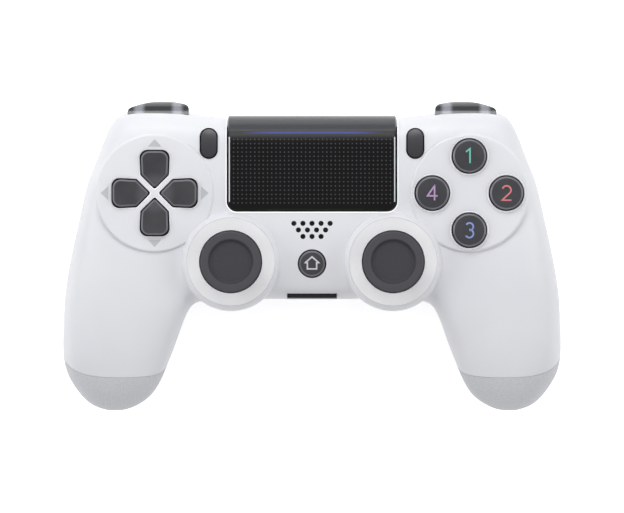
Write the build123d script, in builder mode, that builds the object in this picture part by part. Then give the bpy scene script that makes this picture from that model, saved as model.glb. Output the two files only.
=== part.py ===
from build123d import *
import os

import numpy as np

os.makedirs("parts", exist_ok=True)

# A two-handed gamepad lying on its back: +Z out of the face, +Y towards the triggers, +X to the right.
# The origin is under the middle of its outline, on the surface that its grips and triggers rest on.

# Driving sizes of the body
half_width = 81.0
half_depth = 50.4
face_height = 40.0
shell_wall = 2.2
seam_gap = 0.25
seat_gap = 0.3
running_gap = 0.05
overrun = 6.0
skin_tolerance = 0.0003

# Stick sizes
stick_x = 26.2
stick_y_share = -0.0377
pivot_height = 30.6
cap_r = 10.2
cap_top = 52.0
cap_thickness = 4.2
cap_side = 1.1
cap_dish_r = 6.2
cap_rim_r = 7.6
cap_dish_depth = 1.1
cap_rim_round = 0.9
cap_round_share = 0.3
cap_socket_depth = 2.0
cap_socket_r = 2.4
neck_r = 3.4
dome_r = 13.2
dome_thickness = 1.2
dome_gap = 0.3
dome_edge_angle = 66
collar_r = 15.7
collar_foot_r = 12.0
collar_foot_z = 16.0
collar_rim_r = 14.3
collar_rise = 2.5
collar_hole_r = 9.7
collar_dish_drop = 1.8
collar_ceiling_drop = 1.8
stick_click = 0.5

# Stick module sizes
module_half = 7.6
module_wall = 1.0
module_floor = 0.8
module_rim_rise = 4.4
journal_r = 1.5
journal_inner = 4.0
block_length = 8.0
block_width = 7.0
block_height = 4.0
block_slot_half = 3.5
shaft_r = 2.0
shaft_slot_gap = 0.3
cross_pin_r = 0.8
shaft_foot_r = 3.3
arch_inner_r = 5.2
arch_thickness = 1.3
arch_half_width = 3.2
arch_slot_half = 4.6
plunger_r = 3.8
plunger_thickness = 0.9
plunger_boss_r = 2.0
plunger_gap = 0.3
stick_spring_r = 3.0
stick_spring_wall = 0.6
sensor_thickness = 2.2
sensor_width = 8.0
sensor_height = 9.0
click_switch_length = 3.0
click_switch_width = 6.0
click_switch_height = 3.8
component_gap = 0.1

# Key sizes
pad_x = 50.9
pad_y_share = 0.4028
pad_r = 19.15
pad_rise = 0.5
pad_edge_round = 0.8
well_r = 17.7
well_depth = 8.0
well_wall = 2.45
key_rise = 2.0
key_gap = 0.45
key_bevel = 0.55
opening_bevel = 0.3
button_radius = 12.0
button_opening_r = 5.8
button_crown = 0.35
button_lug_length = 13.6
button_lug_width = 4.2
flange_thickness = 1.1
stem_r = 3.0
lobe_reach = 14.0
lobe_tip = 1.2
lobe_half_width = 5.0
lobe_waist_half_width = 4.6
lobe_waist = 5.8
lobe_corner_r = 2.6
lobe_tip_r = 0.7
dpad_flange_margin = 0.9
dpad_flange_drop = 1.25
dpad_hub_r = 6.0
dpad_dish = 1.3
dpad_post_r = 1.5
dome_contact_radius = 9.5
membrane_thickness = 0.8
membrane_r = 16.6
dome_outer_r = 3.4
dome_wall = 0.6
contact_r = 2.1
contact_thickness = 0.8
film_thickness = 0.2
platform_thickness = 1.4
membrane_base_drop = 7.6
dome_seat_gap = 0.15
post_clearance = 0.7
ribbon_width = 6.0
ribbon_rise = 6.7
wing_web_thickness = 1.8
wing_web_length = 14.0
option_x = 33.4
option_y_share = 0.7222
option_key_width = 5.0
option_key_length = 9.2
option_rise = 0.7
option_flange_width = 8.0
option_flange_length = 5.0
option_flange_drop = 6.6
option_base_drop = 10.4
option_post_r = 3.2
option_slice_count = 6
home_inset = 11.4
home_opening_r = 4.65
home_rise = 0.3
home_flange_r = 5.1
home_flange_drop = 1.05
home_flange_thickness = 0.8
bridge_leg_x = 5.7
bridge_leg_width = 1.6
bridge_leg_length = 6.0
bridge_margin = 0.8

# Touchpad, light and sound sizes
touch_half_width = 27.6
touch_speaker_gap = 1.1
touch_proud = 1.5
touch_corner_r = 3.3
touch_gap = 0.4
touch_rise = 0.6
touch_thickness = 1.8
touch_roll_y = 9.5
touch_roll_z = 10.0
touch_edge_z = 29.6
touch_edge_round = 0.5
touch_board_half_width = 24.0
touch_board_margin = 2.4
touch_board_thickness = 0.8
touch_switch_side = 5.0
touch_switch_height = 1.6
touch_switch_gap = 0.5
touch_switch_inset = 3.9
light_half_width = 25.2
light_bottom_z = 21.8
light_gap = 0.3
light_thickness = 3.0
light_proud = 0.5
speaker_hole_r = 0.83
speaker_pitch = 2.93
speaker_row_pitch = 2.12
speaker_row_counts = (5, 4, 3)
speaker_length = 18.0
speaker_width = 9.6
speaker_depth = 3.6
speaker_corner_r = 3.0
speaker_home_gap = 1.0

# Shoulder sizes: bumpers, triggers and the frames that carry them
shoulder_x = 49.9
shoulder_half_width = 10.4
shoulder_gap = 0.45
bay_top_z = 34.4
bay_reach = 12.8
bumper_proud = 3.8
bumper_outer_end_drop = 2.5
bumper_inner_end_drop = 1.3
bumper_bottom_z = 26.6
bumper_wall = 1.8
bumper_bulge = 4.3
bumper_back_inset = 2.7
bumper_corner_r = 1.8
bumper_pin_r = 1.2
bumper_pin_inset = 3.2
bumper_pin_reach = 4.7
bumper_arm_thickness = 1.6
bumper_arm_z = 28.7
bumper_rib_x = 5.0
bumper_rib_width = 2.0
bumper_boss_r = 2.3
trigger_hinge_reach = 7.8
trigger_hinge_z = 22.0
trigger_reach = 10.9
trigger_drop = 22.0
trigger_wall = 2.0
trigger_set_back = 0.7
trigger_stub_r = 1.5
trigger_stub_gap = 0.3
knuckle_r = 3.0
knuckle_half_length = 5.0
knuckle_gap = 0.5
spring_wall = 0.6
shelf_thickness = 0.6
frame_wall = 1.3
web_thickness = 3.0
bumper_wall_reach = 9.0
bumper_dome_r = 2.0
bumper_dome_height = 1.2
bumper_dome_z = 28.4
frame_floor_z = 14.0
frame_front_inset = 2.1

# Boards, battery, ports and motors
board_half_width = 36.8
board_front_inset = 3.3
board_back_inset = 11.0
board_top_z = 22.6
board_thickness = 1.0
board_round = 3.0
tray_thickness = 1.0
tray_gap = 0.2
battery_half_width = 26.0
battery_front_inset = 8.6
battery_back_inset = 5.0
battery_thickness = 4.9
battery_round = 2.0
charge_half_width = 12.0
charge_length = 8.5
charge_back_inset = 6.0
charge_board_z = 16.6
charge_board_thickness = 0.8
usb_width = 7.6
usb_height = 2.7
usb_length = 5.6
usb_mouth_inset = 1.4
usb_shell = 0.35
usb_tongue_width = 4.0
usb_tongue_height = 0.7
usb_margin = 0.5
charge_post_r = 1.6
charge_post_x = 8.0
charge_post_inset = 2.0
port_half_width = 8.1
port_edge_inset = 1.6
port_front_inset = 0.3
port_home_gap = 0.6
port_top_z = 36.6
port_bottom_z = 29.8
window_cut_inset = 7.6
port_gap = 0.2
port_slot_width = 12.0
port_slot_height = 4.4
port_back_wall = 0.8
port_leg_width = 1.6
jack_bore_r = 1.8
jack_length = 14.0
jack_r = 2.8
jack_collar_r = 3.4
jack_collar_length = 1.4
motor_middle_share = 0.7494
motor_y_share = -0.258
motor_z = 18.0
motor_r = {"left": 9.0, "right": 7.6}
motor_length = 13.0
motor_shaft_r = 1.0
motor_weight_gap = 0.8
weight_r = {"left": 8.4, "right": 6.6}
weight_length = {"left": 6.6, "right": 4.4}
saddle_thickness = 1.8
saddle_inset = 2.6
saddle_half_width = 8.0
screw_board_gap = 3.8
screw_y_share = -0.012
grip_screw_shares = (0.753, -0.655)
screw_boss_r = 3.6
screw_r = 1.0
screw_head_r = 1.9
screw_head_height = 1.6
screw_joint_z = 17.0
screw_head_z = 10.4
screw_bite = 6.0
screw_recess_r = 2.3
screw_cross_width = 0.5
screw_cross_length = 2.2
screw_cross_depth = 0.7
large_chip_side = 9.0
small_chip_side = 6.0
small_chip_x = 13.0
chip_height = 1.0

sides = {"left": -1, "right": 1}


def keep(piece, name):
    """Name a finished piece and write its file."""
    piece.label = name
    export_step(piece, f"parts/{name}.step")


# The body's skin
# Both halves are fans of slices that turn from the middle line round to the grip's tip.
# Each slice stands on a chord: its inner end x, y and outer end x, y are shares of half_width and
# half_depth. Then come the heights of its face side, back side, inner end and outer end, as shares of
# face_height, and the fullness of its face side and of its back side.
body_slice_shares = (
    (0.000, -0.276, 0.000, 0.873, 1.000, 0.300, 0.675, 0.700, 5.0, 4.0),
    (0.198, -0.276, 0.198, 0.873, 1.000, 0.300, 0.675, 0.700, 5.0, 4.0),
    (0.358, -0.278, 0.370, 0.881, 1.000, 0.300, 0.675, 0.700, 5.0, 4.0),
    (0.426, -0.284, 0.519, 0.913, 1.000, 0.295, 0.675, 0.700, 5.0, 3.8),
    (0.463, -0.298, 0.667, 0.919, 0.997, 0.275, 0.675, 0.700, 5.0, 3.6),
    (0.480, -0.315, 0.773, 0.885, 0.993, 0.250, 0.667, 0.700, 5.0, 3.4),
    (0.493, -0.341, 0.835, 0.710, 0.990, 0.220, 0.657, 0.688, 4.9, 3.2),
    (0.505, -0.381, 0.886, 0.506, 0.988, 0.175, 0.650, 0.675, 4.6, 3.0),
    (0.519, -0.437, 0.928, 0.254, 0.978, 0.125, 0.650, 0.650, 4.0, 2.8),
    (0.536, -0.512, 0.968, -0.032, 0.945, 0.075, 0.650, 0.613, 3.3, 2.6),
    (0.556, -0.599, 0.993, -0.294, 0.890, 0.025, 0.650, 0.562, 2.8, 2.5),
    (0.578, -0.690, 1.000, -0.516, 0.830, 0.000, 0.637, 0.512, 2.6, 2.4),
    (0.602, -0.782, 0.993, -0.710, 0.755, 0.020, 0.600, 0.470, 2.5, 2.4),
    (0.633, -0.869, 0.958, -0.837, 0.680, 0.075, 0.540, 0.438, 2.4, 2.4),
    (0.678, -0.940, 0.911, -0.931, 0.590, 0.150, 0.472, 0.415, 2.3, 2.3),
    (0.733, -0.986, 0.857, -0.984, 0.490, 0.245, 0.425, 0.400, 2.2, 2.2),
    (0.773, -1.000, 0.820, -1.000, 0.422, 0.330, 0.405, 0.398, 2.1, 2.1),
)
hollow_slice_count = len(body_slice_shares) - 2
ring_points = 24
guide_step = 4
ring_samples = 2401


def slice_ring(slice_shares, side, inset):
    """Even points round one slice: a superellipse across its chord, set in along its normals."""
    plan, heights, fullness = slice_shares[:4], slice_shares[4:8], slice_shares[8:]
    inner = np.array([plan[0] * half_width, plan[1] * half_depth])
    outer = np.array([plan[2] * half_width, plan[3] * half_depth])
    face_z, back_z, inner_z, outer_z = (share * face_height for share in heights)
    chord = np.linalg.norm(outer - inner)
    turn = np.linspace(0, 2 * np.pi, ring_samples)
    c, s = np.cos(turn), np.sin(turn)
    power = 2 / np.where(s >= 0, fullness[0], fullness[1])
    w = chord / 2 * (1 + np.sign(c) * np.abs(c) ** power)
    middle = inner_z + (outer_z - inner_z) * w / chord
    far = np.where(s >= 0, face_z - middle, back_z - middle)
    z = middle + far * np.abs(s) ** power
    dw, dz = np.gradient(w), np.gradient(z)
    dw[0] = dw[-1] = w[1] - w[-2]
    dz[0] = dz[-1] = z[1] - z[-2]
    steepness = np.hypot(dw, dz)
    w, z = w - inset * dz / steepness, z + inset * dw / steepness
    along = np.concatenate([[0], np.cumsum(np.hypot(np.diff(w), np.diff(z)))])
    even = np.linspace(0, along[-1], ring_points + 1)[:-1]
    w, z = np.interp(even, along, w), np.interp(even, along, z)
    x, y = (inner[k] + (outer - inner)[k] / chord * w for k in (0, 1))
    return [Vector(float(side * a), float(b), float(c)) for a, b, c in zip(x, y, z)]


def body_solid(slices, inset):
    """The closed body: one skin through every slice ring and its long guides, with two small end caps."""
    rings = [slice_ring(one, -1, inset) for one in reversed(slices[1:])]
    rings += [slice_ring(one, 1, inset) for one in slices]
    steps = [k / ring_points for k in range(ring_points + 1)]
    hoops = [Edge.make_spline(ring, periodic=True, parameters=steps) for ring in rings]
    places = [*range(0, ring_points, guide_step), 0]
    guides = [Edge.make_spline([ring[k] for ring in rings]) for k in places]
    skin = Face.make_gordon_surface(hoops, guides, tolerance=skin_tolerance)
    ends = [edge for edge in skin.edges() if edge.is_closed]
    return Solid(Shell([skin] + [Face(Wire([end])) for end in ends]))


outer_body = body_solid(body_slice_shares, 0.0)
inner_body = body_solid(body_slice_shares[:hollow_slice_count], shell_wall)
rib_body = body_solid(body_slice_shares[:hollow_slice_count], shell_wall / 2)
fit_body = body_solid(body_slice_shares[:hollow_slice_count], shell_wall + seat_gap)

# Edges of the body: the front and back ends of its middle slice and the back end of a shoulder slice
front_edge_y = body_slice_shares[0][1] * half_depth
back_edge_y = body_slice_shares[0][3] * half_depth
shoulder_edge_y = body_slice_shares[4][3] * half_depth

# Places along the body
stick_y = stick_y_share * half_depth
pad_y = pad_y_share * half_depth
option_y = option_y_share * half_depth
ribbon_y = pad_y + ribbon_rise
home_y = front_edge_y + home_inset
speaker_y = home_y + home_flange_r + speaker_home_gap + speaker_width / 2
speaker_row_y = speaker_y + speaker_row_pitch
touch_bottom_y = speaker_y + speaker_width / 2 + touch_speaker_gap
touch_switch_y = touch_bottom_y + touch_switch_inset
touch_top_y = back_edge_y + touch_proud
window_cut_y = back_edge_y - window_cut_inset
port_edge_y = front_edge_y + port_edge_inset
port_front_y = front_edge_y + port_front_inset
port_back_y = home_y - home_flange_r - port_home_gap
port_pocket_y = port_back_y + seat_gap
board_front_y = front_edge_y + board_front_inset
board_back_y = back_edge_y - board_back_inset
battery_front_y = board_front_y + battery_front_inset
battery_back_y = board_back_y - battery_back_inset
charge_back_y = back_edge_y - charge_back_inset
charge_front_y = charge_back_y - charge_length
charge_post_y = charge_front_y + charge_post_inset
usb_mouth_y = back_edge_y - usb_mouth_inset
bay_back_y = shoulder_edge_y - bay_reach
bumper_wall_y = shoulder_edge_y - bumper_wall_reach
trigger_hinge_y = shoulder_edge_y - trigger_hinge_reach
bumper_pin_y = shoulder_edge_y - bumper_pin_reach
bumper_back_y = shoulder_edge_y - bumper_back_inset
frame_front_y = shoulder_edge_y - frame_front_inset
bumper_crown_y = shoulder_edge_y + bumper_proud
motor_reach = motor_length + motor_weight_gap + weight_length["left"]
motor_x = motor_middle_share * half_width - motor_reach / 2
motor_y = motor_y_share * half_depth
screw_places = (
    (board_half_width + screw_board_gap + screw_boss_r, screw_y_share * half_depth),
    (grip_screw_shares[0] * half_width, grip_screw_shares[1] * half_depth),
)

# Levels inside the body
ceiling_z = face_height - shell_wall
pad_top = face_height + pad_rise
well_top = pad_top - well_wall
key_top = pad_top + key_rise
board_bottom_z = board_top_z - board_thickness
tray_top_z = board_bottom_z - tray_gap
tray_bottom_z = tray_top_z - tray_thickness
membrane_base_z = face_height - membrane_base_drop
platform_top_z = membrane_base_z - film_thickness
platform_bottom_z = platform_top_z - platform_thickness
frame_top_z = platform_bottom_z - seat_gap
membrane_sheet_top = membrane_base_z + membrane_thickness


def upright(x, y):
    """A plane that stands along X through a place, for profiles turned round an upright axis."""
    return Plane(origin=(x, y, 0), x_dir=(1, 0, 0), z_dir=(0, -1, 0))


def upright_axis(x, y):
    """The upright axis through a place."""
    return Axis((x, y, 0), (0, 0, 1))


def collar(side, inset):
    """The round pod under one stick, turned round the stick's axis, or its hollow when set in."""
    top = face_height + collar_rise
    with BuildPart() as pod:
        with BuildSketch(upright(side * stick_x, stick_y)):
            with BuildLine():
                foot = Line((0, collar_foot_z + inset), (collar_foot_r - inset, collar_foot_z + inset))
                bulge = Spline(
                    foot @ 1,
                    (collar_r - inset, (collar_foot_z + face_height) / 2),
                    (collar_r - inset, face_height - collar_ceiling_drop),
                )
                if inset:
                    Polyline(bulge @ 1, (0, face_height - collar_ceiling_drop), foot @ 0)
                else:
                    shoulder = ThreePointArc(
                        bulge @ 1,
                        ((collar_r * 3 + collar_rim_r) / 4, (face_height * 2 + top * 3) / 5),
                        (collar_rim_r, top),
                    )
                    Polyline(
                        shoulder @ 1,
                        (collar_hole_r, top - collar_dish_drop),
                        (0, top - collar_dish_drop),
                        foot @ 0,
                    )
            make_face()
        revolve(axis=upright_axis(side * stick_x, stick_y))
    return pod.part


with BuildPart() as pads:
    with BuildSketch(Plane.XY.offset(face_height / 2)):
        with Locations((-pad_x, pad_y), (pad_x, pad_y)):
            Circle(pad_r)
    extrude(amount=pad_top - face_height / 2)
    fillet(pads.faces().sort_by(Axis.Z)[-2:].edges(), pad_edge_round)

with BuildPart() as wells:
    with BuildSketch(Plane.XY.offset(well_top - well_depth)):
        with Locations((-pad_x, pad_y), (pad_x, pad_y)):
            Circle(well_r)
    extrude(amount=well_depth)

hood = outer_body + collar(-1, 0.0) + collar(1, 0.0) + pads.part
hollow = inner_body + collar(-1, shell_wall) + collar(1, shell_wall) + wells.part
case = hood - hollow

# The seam between the two shells, seen from the side: it runs back from the triggers along the flank
# and climbs over the end of the grip, so that the back shell wraps the tip.
seam_shares = (
    (0.000, 0.675),
    (-0.300, 0.588),
    (-0.480, 0.483),
    (-0.580, 0.485),
    (-0.695, 0.600),
    (-0.805, 0.762),
    (-0.873, 0.925),
)


def below_seam(lift):
    """Everything under the seam, lifted by a gap."""
    line = [(a * half_depth, b * face_height + lift) for a, b in seam_shares]
    behind, ahead = half_depth + overrun, -half_depth - overrun
    with BuildPart() as under:
        with BuildSketch(Plane.YZ.offset(-half_width - overrun)):
            with BuildLine():
                straight = Line((behind, line[0][1]), line[0])
                climb = Spline(*line)
                Polyline(
                    climb @ 1,
                    (ahead, line[-1][1]),
                    (ahead, -overrun),
                    (behind, -overrun),
                    straight @ 0,
                )
            make_face()
        extrude(amount=2 * (half_width + overrun))
    return under.part


# Outlines of the key openings, shared by the shell, the keys and their flanges


def lobe_outline(grow):
    """The four arrow-shaped lobes of the direction pad, grown or shrunk all round."""
    with BuildSketch() as one:
        with BuildLine():
            Polyline(
                (lobe_half_width, lobe_reach),
                (lobe_waist_half_width, lobe_waist),
                (0, lobe_tip),
                (-lobe_waist_half_width, lobe_waist),
                (-lobe_half_width, lobe_reach),
                close=True,
            )
        make_face()
        if grow:
            offset(amount=grow, kind=Kind.INTERSECTION)
        fillet(one.vertices().group_by(Axis.Y)[-1], lobe_corner_r)
        fillet(one.vertices().group_by(Axis.Y)[0] + one.vertices().group_by(Axis.Y)[1], lobe_tip_r)
    return one.sketch


def button_places(radius):
    """The four places round the middle of a key pad, from the top one clockwise."""
    return [(0, radius), (radius, 0), (0, -radius), (-radius, 0)]


through = 2 * overrun
cut_floor = face_height - overrun
pad_plane = {name: Plane((side * pad_x, pad_y, 0)) for name, side in sides.items()}

with BuildPart() as face_openings:
    with BuildSketch(pad_plane["left"].offset(cut_floor)):
        with PolarLocations(0, 4):
            add(lobe_outline(0))
    extrude(amount=through)
    with BuildSketch(pad_plane["right"].offset(cut_floor)):
        with Locations(*button_places(button_radius)):
            Circle(button_opening_r)
    extrude(amount=through)
    with BuildSketch(Plane.XY.offset(cut_floor)):
        with Locations((-option_x, option_y), (option_x, option_y)):
            SlotOverall(option_key_length + 2 * key_gap, option_key_width + 2 * key_gap, rotation=90)
        with Locations((0, home_y)):
            Circle(home_opening_r)
        for row, count in enumerate(speaker_row_counts):
            with Locations((0, speaker_row_y - row * speaker_row_pitch)):
                with GridLocations(speaker_pitch, speaker_pitch, count, 1):
                    Circle(speaker_hole_r)
    extrude(amount=through)
    for side in sides.values():
        with BuildSketch(Plane((side * stick_x, stick_y, pivot_height))):
            Circle(collar_hole_r)
        extrude(amount=face_height)
        with BuildSketch(upright(side * stick_x, stick_y)):
            with Locations((0, pivot_height)):
                Circle(dome_r + dome_gap)
            with Locations((collar_foot_r / 2, pivot_height + dome_r)):
                Rectangle(collar_foot_r, 2 * dome_r, mode=Mode.INTERSECT)
        revolve(axis=upright_axis(side * stick_x, stick_y))
    with BuildSketch(pad_plane["left"].offset(pad_top - opening_bevel)):
        with PolarLocations(0, 4):
            add(lobe_outline(0))
    extrude(amount=2 * opening_bevel, taper=-45)
    with BuildSketch(pad_plane["right"].offset(pad_top - opening_bevel)):
        with Locations(*button_places(button_radius)):
            Circle(button_opening_r)
    extrude(amount=2 * opening_bevel, taper=-45)

touch_length = half_depth + overrun - touch_bottom_y
with BuildPart() as touch_opening:
    with BuildSketch(Plane.XY.offset(touch_edge_z - touch_gap)) as touch_hole:
        with Locations((0, touch_bottom_y + touch_length / 2)):
            Rectangle(2 * touch_half_width, touch_length)
        fillet(touch_hole.vertices().group_by(Axis.Y)[0], touch_corner_r)
    extrude(amount=face_height)

light_depth = half_depth + overrun - window_cut_y
with BuildPart() as light_window:
    with BuildSketch(Plane.XY.offset(light_bottom_z)):
        with Locations((0, window_cut_y + light_depth / 2)):
            Rectangle(2 * light_half_width, light_depth)
    extrude(amount=touch_edge_z - light_bottom_z)

with BuildPart() as shoulder_bays:
    bay_depth = half_depth + overrun - bay_back_y
    with BuildSketch(Plane.XY.offset(-overrun)):
        with Locations(*[(side * shoulder_x, bay_back_y + bay_depth / 2) for side in (-1, 1)]):
            Rectangle(2 * shoulder_half_width, bay_depth)
    extrude(amount=bay_top_z + overrun)

with BuildPart() as port_notch:
    with BuildSketch(Plane.XZ.offset(-port_edge_y)):
        with Locations((0, (face_height + port_bottom_z - port_gap) / 2)):
            Rectangle(2 * port_half_width, face_height - port_bottom_z + port_gap)
    extrude(amount=through)

with BuildPart() as port_pocket:
    with BuildSketch(Plane.XZ.offset(-port_pocket_y)):
        with Locations((0, (port_top_z + port_bottom_z) / 2)):
            Rectangle(2 * port_half_width, port_top_z - port_bottom_z + 2 * port_gap)
    extrude(amount=through)

with BuildPart() as jack_hole:
    with BuildSketch(Plane.XZ.offset(-port_pocket_y)):
        with Locations((0, board_top_z + jack_r)):
            Circle(jack_collar_r + port_gap)
    extrude(amount=through)

front_raw = case - below_seam(seam_gap)
rear_raw = case & below_seam(0.0)


def screw_column(z_low, z_high, radius):
    """The same round bar at each of the four screw places."""
    with BuildPart() as columns:
        with BuildSketch(Plane.XY.offset(z_low)):
            with Locations(*[(side * x, y) for side in (-1, 1) for x, y in screw_places]):
                Circle(radius)
        extrude(amount=z_high - z_low)
    return columns.part


# Front shell: the face with every key opening, the stick collars and four screw bosses
front_bosses = screw_column(screw_joint_z + seam_gap, face_height, screw_boss_r) & rib_body
with BuildPart() as front_shell:
    add(front_raw)
    add(front_bosses)
    add(face_openings.part, mode=Mode.SUBTRACT)
    for cut in (shoulder_bays, touch_opening, light_window, port_notch, port_pocket, jack_hole):
        add(cut.part, mode=Mode.SUBTRACT)
    add(screw_column(0.0, screw_joint_z + screw_bite + seat_gap, screw_r + running_gap), mode=Mode.SUBTRACT)
keep(front_shell.part.solid(), "front_shell")

# Rear shell: the back of the body and the grips' tips, with screw bosses, motor saddles and posts
saddle_low, saddle_high = motor_x + saddle_inset, motor_x + motor_length - saddle_inset
with BuildPart() as rear_ribs:
    for name, side in sides.items():
        for x in (saddle_low, saddle_high):
            with BuildSketch(Plane.YZ.offset(side * x)):
                with Locations((motor_y, motor_z / 2)):
                    Rectangle(2 * saddle_half_width, motor_z)
                with Locations((motor_y, motor_z)):
                    Circle(motor_r[name] + seat_gap, mode=Mode.SUBTRACT)
            extrude(amount=saddle_thickness / 2, both=True)
    with BuildSketch(Plane.XY):
        with Locations((-charge_post_x, charge_post_y), (charge_post_x, charge_post_y)):
            Circle(charge_post_r)
    extrude(amount=charge_board_z - running_gap)
rear_ribs_in = (rear_ribs.part + screw_column(0.0, screw_joint_z, screw_boss_r)) & rib_body
with BuildPart() as rear_openings:
    with BuildSketch(Plane.XZ.offset(-window_cut_y)):
        with Locations((0, charge_board_z + charge_board_thickness + usb_height / 2)):
            RectangleRounded(usb_width + 2 * usb_margin, usb_height + 2 * usb_margin, usb_margin)
    extrude(amount=-through)
    add(screw_column(-overrun, screw_head_z, screw_recess_r))
    add(screw_column(-overrun, face_height, screw_r + running_gap))
with BuildPart() as rear_shell:
    add(rear_raw)
    add(rear_ribs_in)
    for cut in (shoulder_bays, light_window, jack_hole, rear_openings):
        add(cut.part, mode=Mode.SUBTRACT)
keep(rear_shell.part.solid(), "rear_shell")

# Touchpad cover: one plate that rolls over the body's top edge
cover_half = touch_half_width - touch_gap
cover_front = touch_bottom_y + touch_gap
cover_top = face_height + touch_rise
roll_start_y = touch_top_y - touch_roll_y
roll_z = cover_top - touch_roll_z
with BuildPart() as touchpad_cover:
    with BuildSketch(Plane.YZ):
        with BuildLine():
            flat = Line((cover_front, cover_top), (roll_start_y, cover_top))
            EllipticalCenterArc((roll_start_y, roll_z), touch_roll_y, touch_roll_z, arc_size=90)
            EllipticalCenterArc(
                (roll_start_y, roll_z),
                touch_roll_y - touch_thickness,
                touch_roll_z - touch_thickness,
                arc_size=90,
            )
            Polyline(
                (touch_top_y, roll_z),
                (touch_top_y, touch_edge_z),
                (touch_top_y - touch_thickness, touch_edge_z),
                (touch_top_y - touch_thickness, roll_z),
            )
            Polyline(
                (roll_start_y, cover_top - touch_thickness),
                (cover_front, cover_top - touch_thickness),
                flat @ 0,
            )
        make_face()
    extrude(amount=cover_half, both=True)
    front_corners = touchpad_cover.edges().filter_by(Axis.Z).group_by(Axis.Y)[0]
    fillet(front_corners, touch_corner_r - touch_gap)
    fillet(touchpad_cover.faces().filter_by(Axis.Z).sort_by(Axis.Z)[-1].edges(), touch_edge_round)
keep(touchpad_cover.part, "touchpad_cover")

# Touch board: the sensing board glued under the cover
touch_board_top = cover_top - touch_thickness - component_gap
touch_board_length = roll_start_y - cover_front - touch_board_margin
touch_board_y = roll_start_y - touch_board_length / 2
with BuildPart() as touch_board:
    with BuildSketch(Plane.XY.offset(touch_board_top - touch_board_thickness)):
        with Locations((0, touch_board_y)):
            Rectangle(2 * touch_board_half_width, touch_board_length)
    extrude(amount=touch_board_thickness)
keep(touch_board.part, "touch_board")

# Touch switch: the click switch under the middle of the pad's front edge, with its round plunger
switch_top_z = touch_board_top - touch_board_thickness - touch_switch_gap
switch_base_z = switch_top_z - touch_switch_height
with BuildPart() as touch_switch:
    with BuildSketch(Plane.XY.offset(switch_base_z)):
        with Locations((0, touch_switch_y)):
            Rectangle(touch_switch_side, touch_switch_side)
    extrude(amount=touch_switch_height * 2 / 3)
    with BuildSketch(Plane.XY.offset(switch_base_z + touch_switch_height / 2)):
        with Locations((0, touch_switch_y)):
            Circle(touch_switch_side / 4)
    extrude(amount=touch_switch_height / 2)
keep(touch_switch.part, "touch_switch")

# Light guide: the frosted bar between the cover's edge and the back shell
guide_face_y = touch_top_y - touch_thickness + light_proud
with BuildPart() as light_guide:
    with BuildSketch(Plane.XZ.offset(-guide_face_y)):
        with Locations((0, (touch_edge_z + light_bottom_z) / 2)):
            RectangleRounded(
                2 * (light_half_width - light_gap),
                touch_edge_z - light_bottom_z - 2 * light_gap,
                light_proud,
            )
    extrude(amount=light_thickness)
    fillet(light_guide.faces().sort_by(Axis.Y)[-1].edges(), light_gap)
keep(light_guide.part, "light_guide")

# Levels of the keys
flange_top = well_top - dpad_flange_drop
flange_bottom = flange_top - flange_thickness
dome_top = flange_bottom - dome_seat_gap
stem_bottom = flange_bottom
contact_top = dome_top - dome_wall - running_gap

# Direction pad: four lobes on one flange, dished towards the middle, with a post that centres it
with BuildPart() as dpad:
    with BuildSketch(pad_plane["left"].offset(flange_bottom)):
        with PolarLocations(0, 4):
            add(lobe_outline(dpad_flange_margin))
        Circle(dpad_hub_r)
    extrude(amount=flange_thickness)
    with BuildSketch(pad_plane["left"].offset(flange_bottom)):
        with PolarLocations(0, 4):
            add(lobe_outline(-key_gap))
    extrude(amount=key_top - flange_bottom)
    dish_r = lobe_reach**2 / (2 * dpad_dish)
    with Locations((-pad_x, pad_y, key_top - dpad_dish + dish_r)):
        Sphere(dish_r, mode=Mode.SUBTRACT)
    lobe_tops = dpad.faces().filter_by(GeomType.SPHERE)
    chamfer(lobe_tops.edges(), key_bevel)
    with BuildSketch(pad_plane["left"].offset(platform_top_z + seat_gap)):
        Circle(dpad_post_r)
    extrude(amount=flange_bottom - platform_top_z)
keep(dpad.part, "dpad")


def contacts(places):
    """Carbon contact discs under two of the direction pad's domes."""
    with BuildPart() as discs:
        with BuildSketch(pad_plane["left"].offset(contact_top - contact_thickness)):
            with Locations(*places):
                Circle(contact_r)
        extrude(amount=contact_thickness)
    return discs.part


keep(contacts(button_places(dome_contact_radius)[1::2]), "dpad_side_contacts")
keep(contacts(button_places(dome_contact_radius)[0::2]), "dpad_end_contacts")


def membrane(plane, sheet_r, places, with_contacts, hole_r=0.0):
    """A silicone sheet with a hollow dome at each place."""
    with BuildPart() as sheet:
        with BuildSketch(plane.offset(membrane_base_z)):
            Circle(sheet_r)
            if hole_r:
                Circle(hole_r, mode=Mode.SUBTRACT)
        extrude(amount=membrane_thickness)
        with BuildSketch(plane.offset(membrane_sheet_top)):
            with Locations(*places):
                Circle(dome_outer_r)
        extrude(amount=dome_top - membrane_sheet_top)
        with BuildSketch(plane.offset(membrane_base_z)):
            with Locations(*places):
                Circle(dome_outer_r - dome_wall)
        extrude(amount=dome_top - dome_wall - membrane_base_z, mode=Mode.SUBTRACT)
        if with_contacts:
            with BuildSketch(plane.offset(contact_top - contact_thickness)):
                with Locations(*places):
                    Circle(contact_r)
            extrude(amount=contact_thickness + running_gap)
    return sheet.part


post_hole_r = dpad_post_r + post_clearance
keep(
    membrane(pad_plane["left"], membrane_r, button_places(dome_contact_radius), False, post_hole_r),
    "dpad_membrane",
)
keep(membrane(pad_plane["right"], membrane_r, button_places(button_radius), True), "button_membrane")


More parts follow.
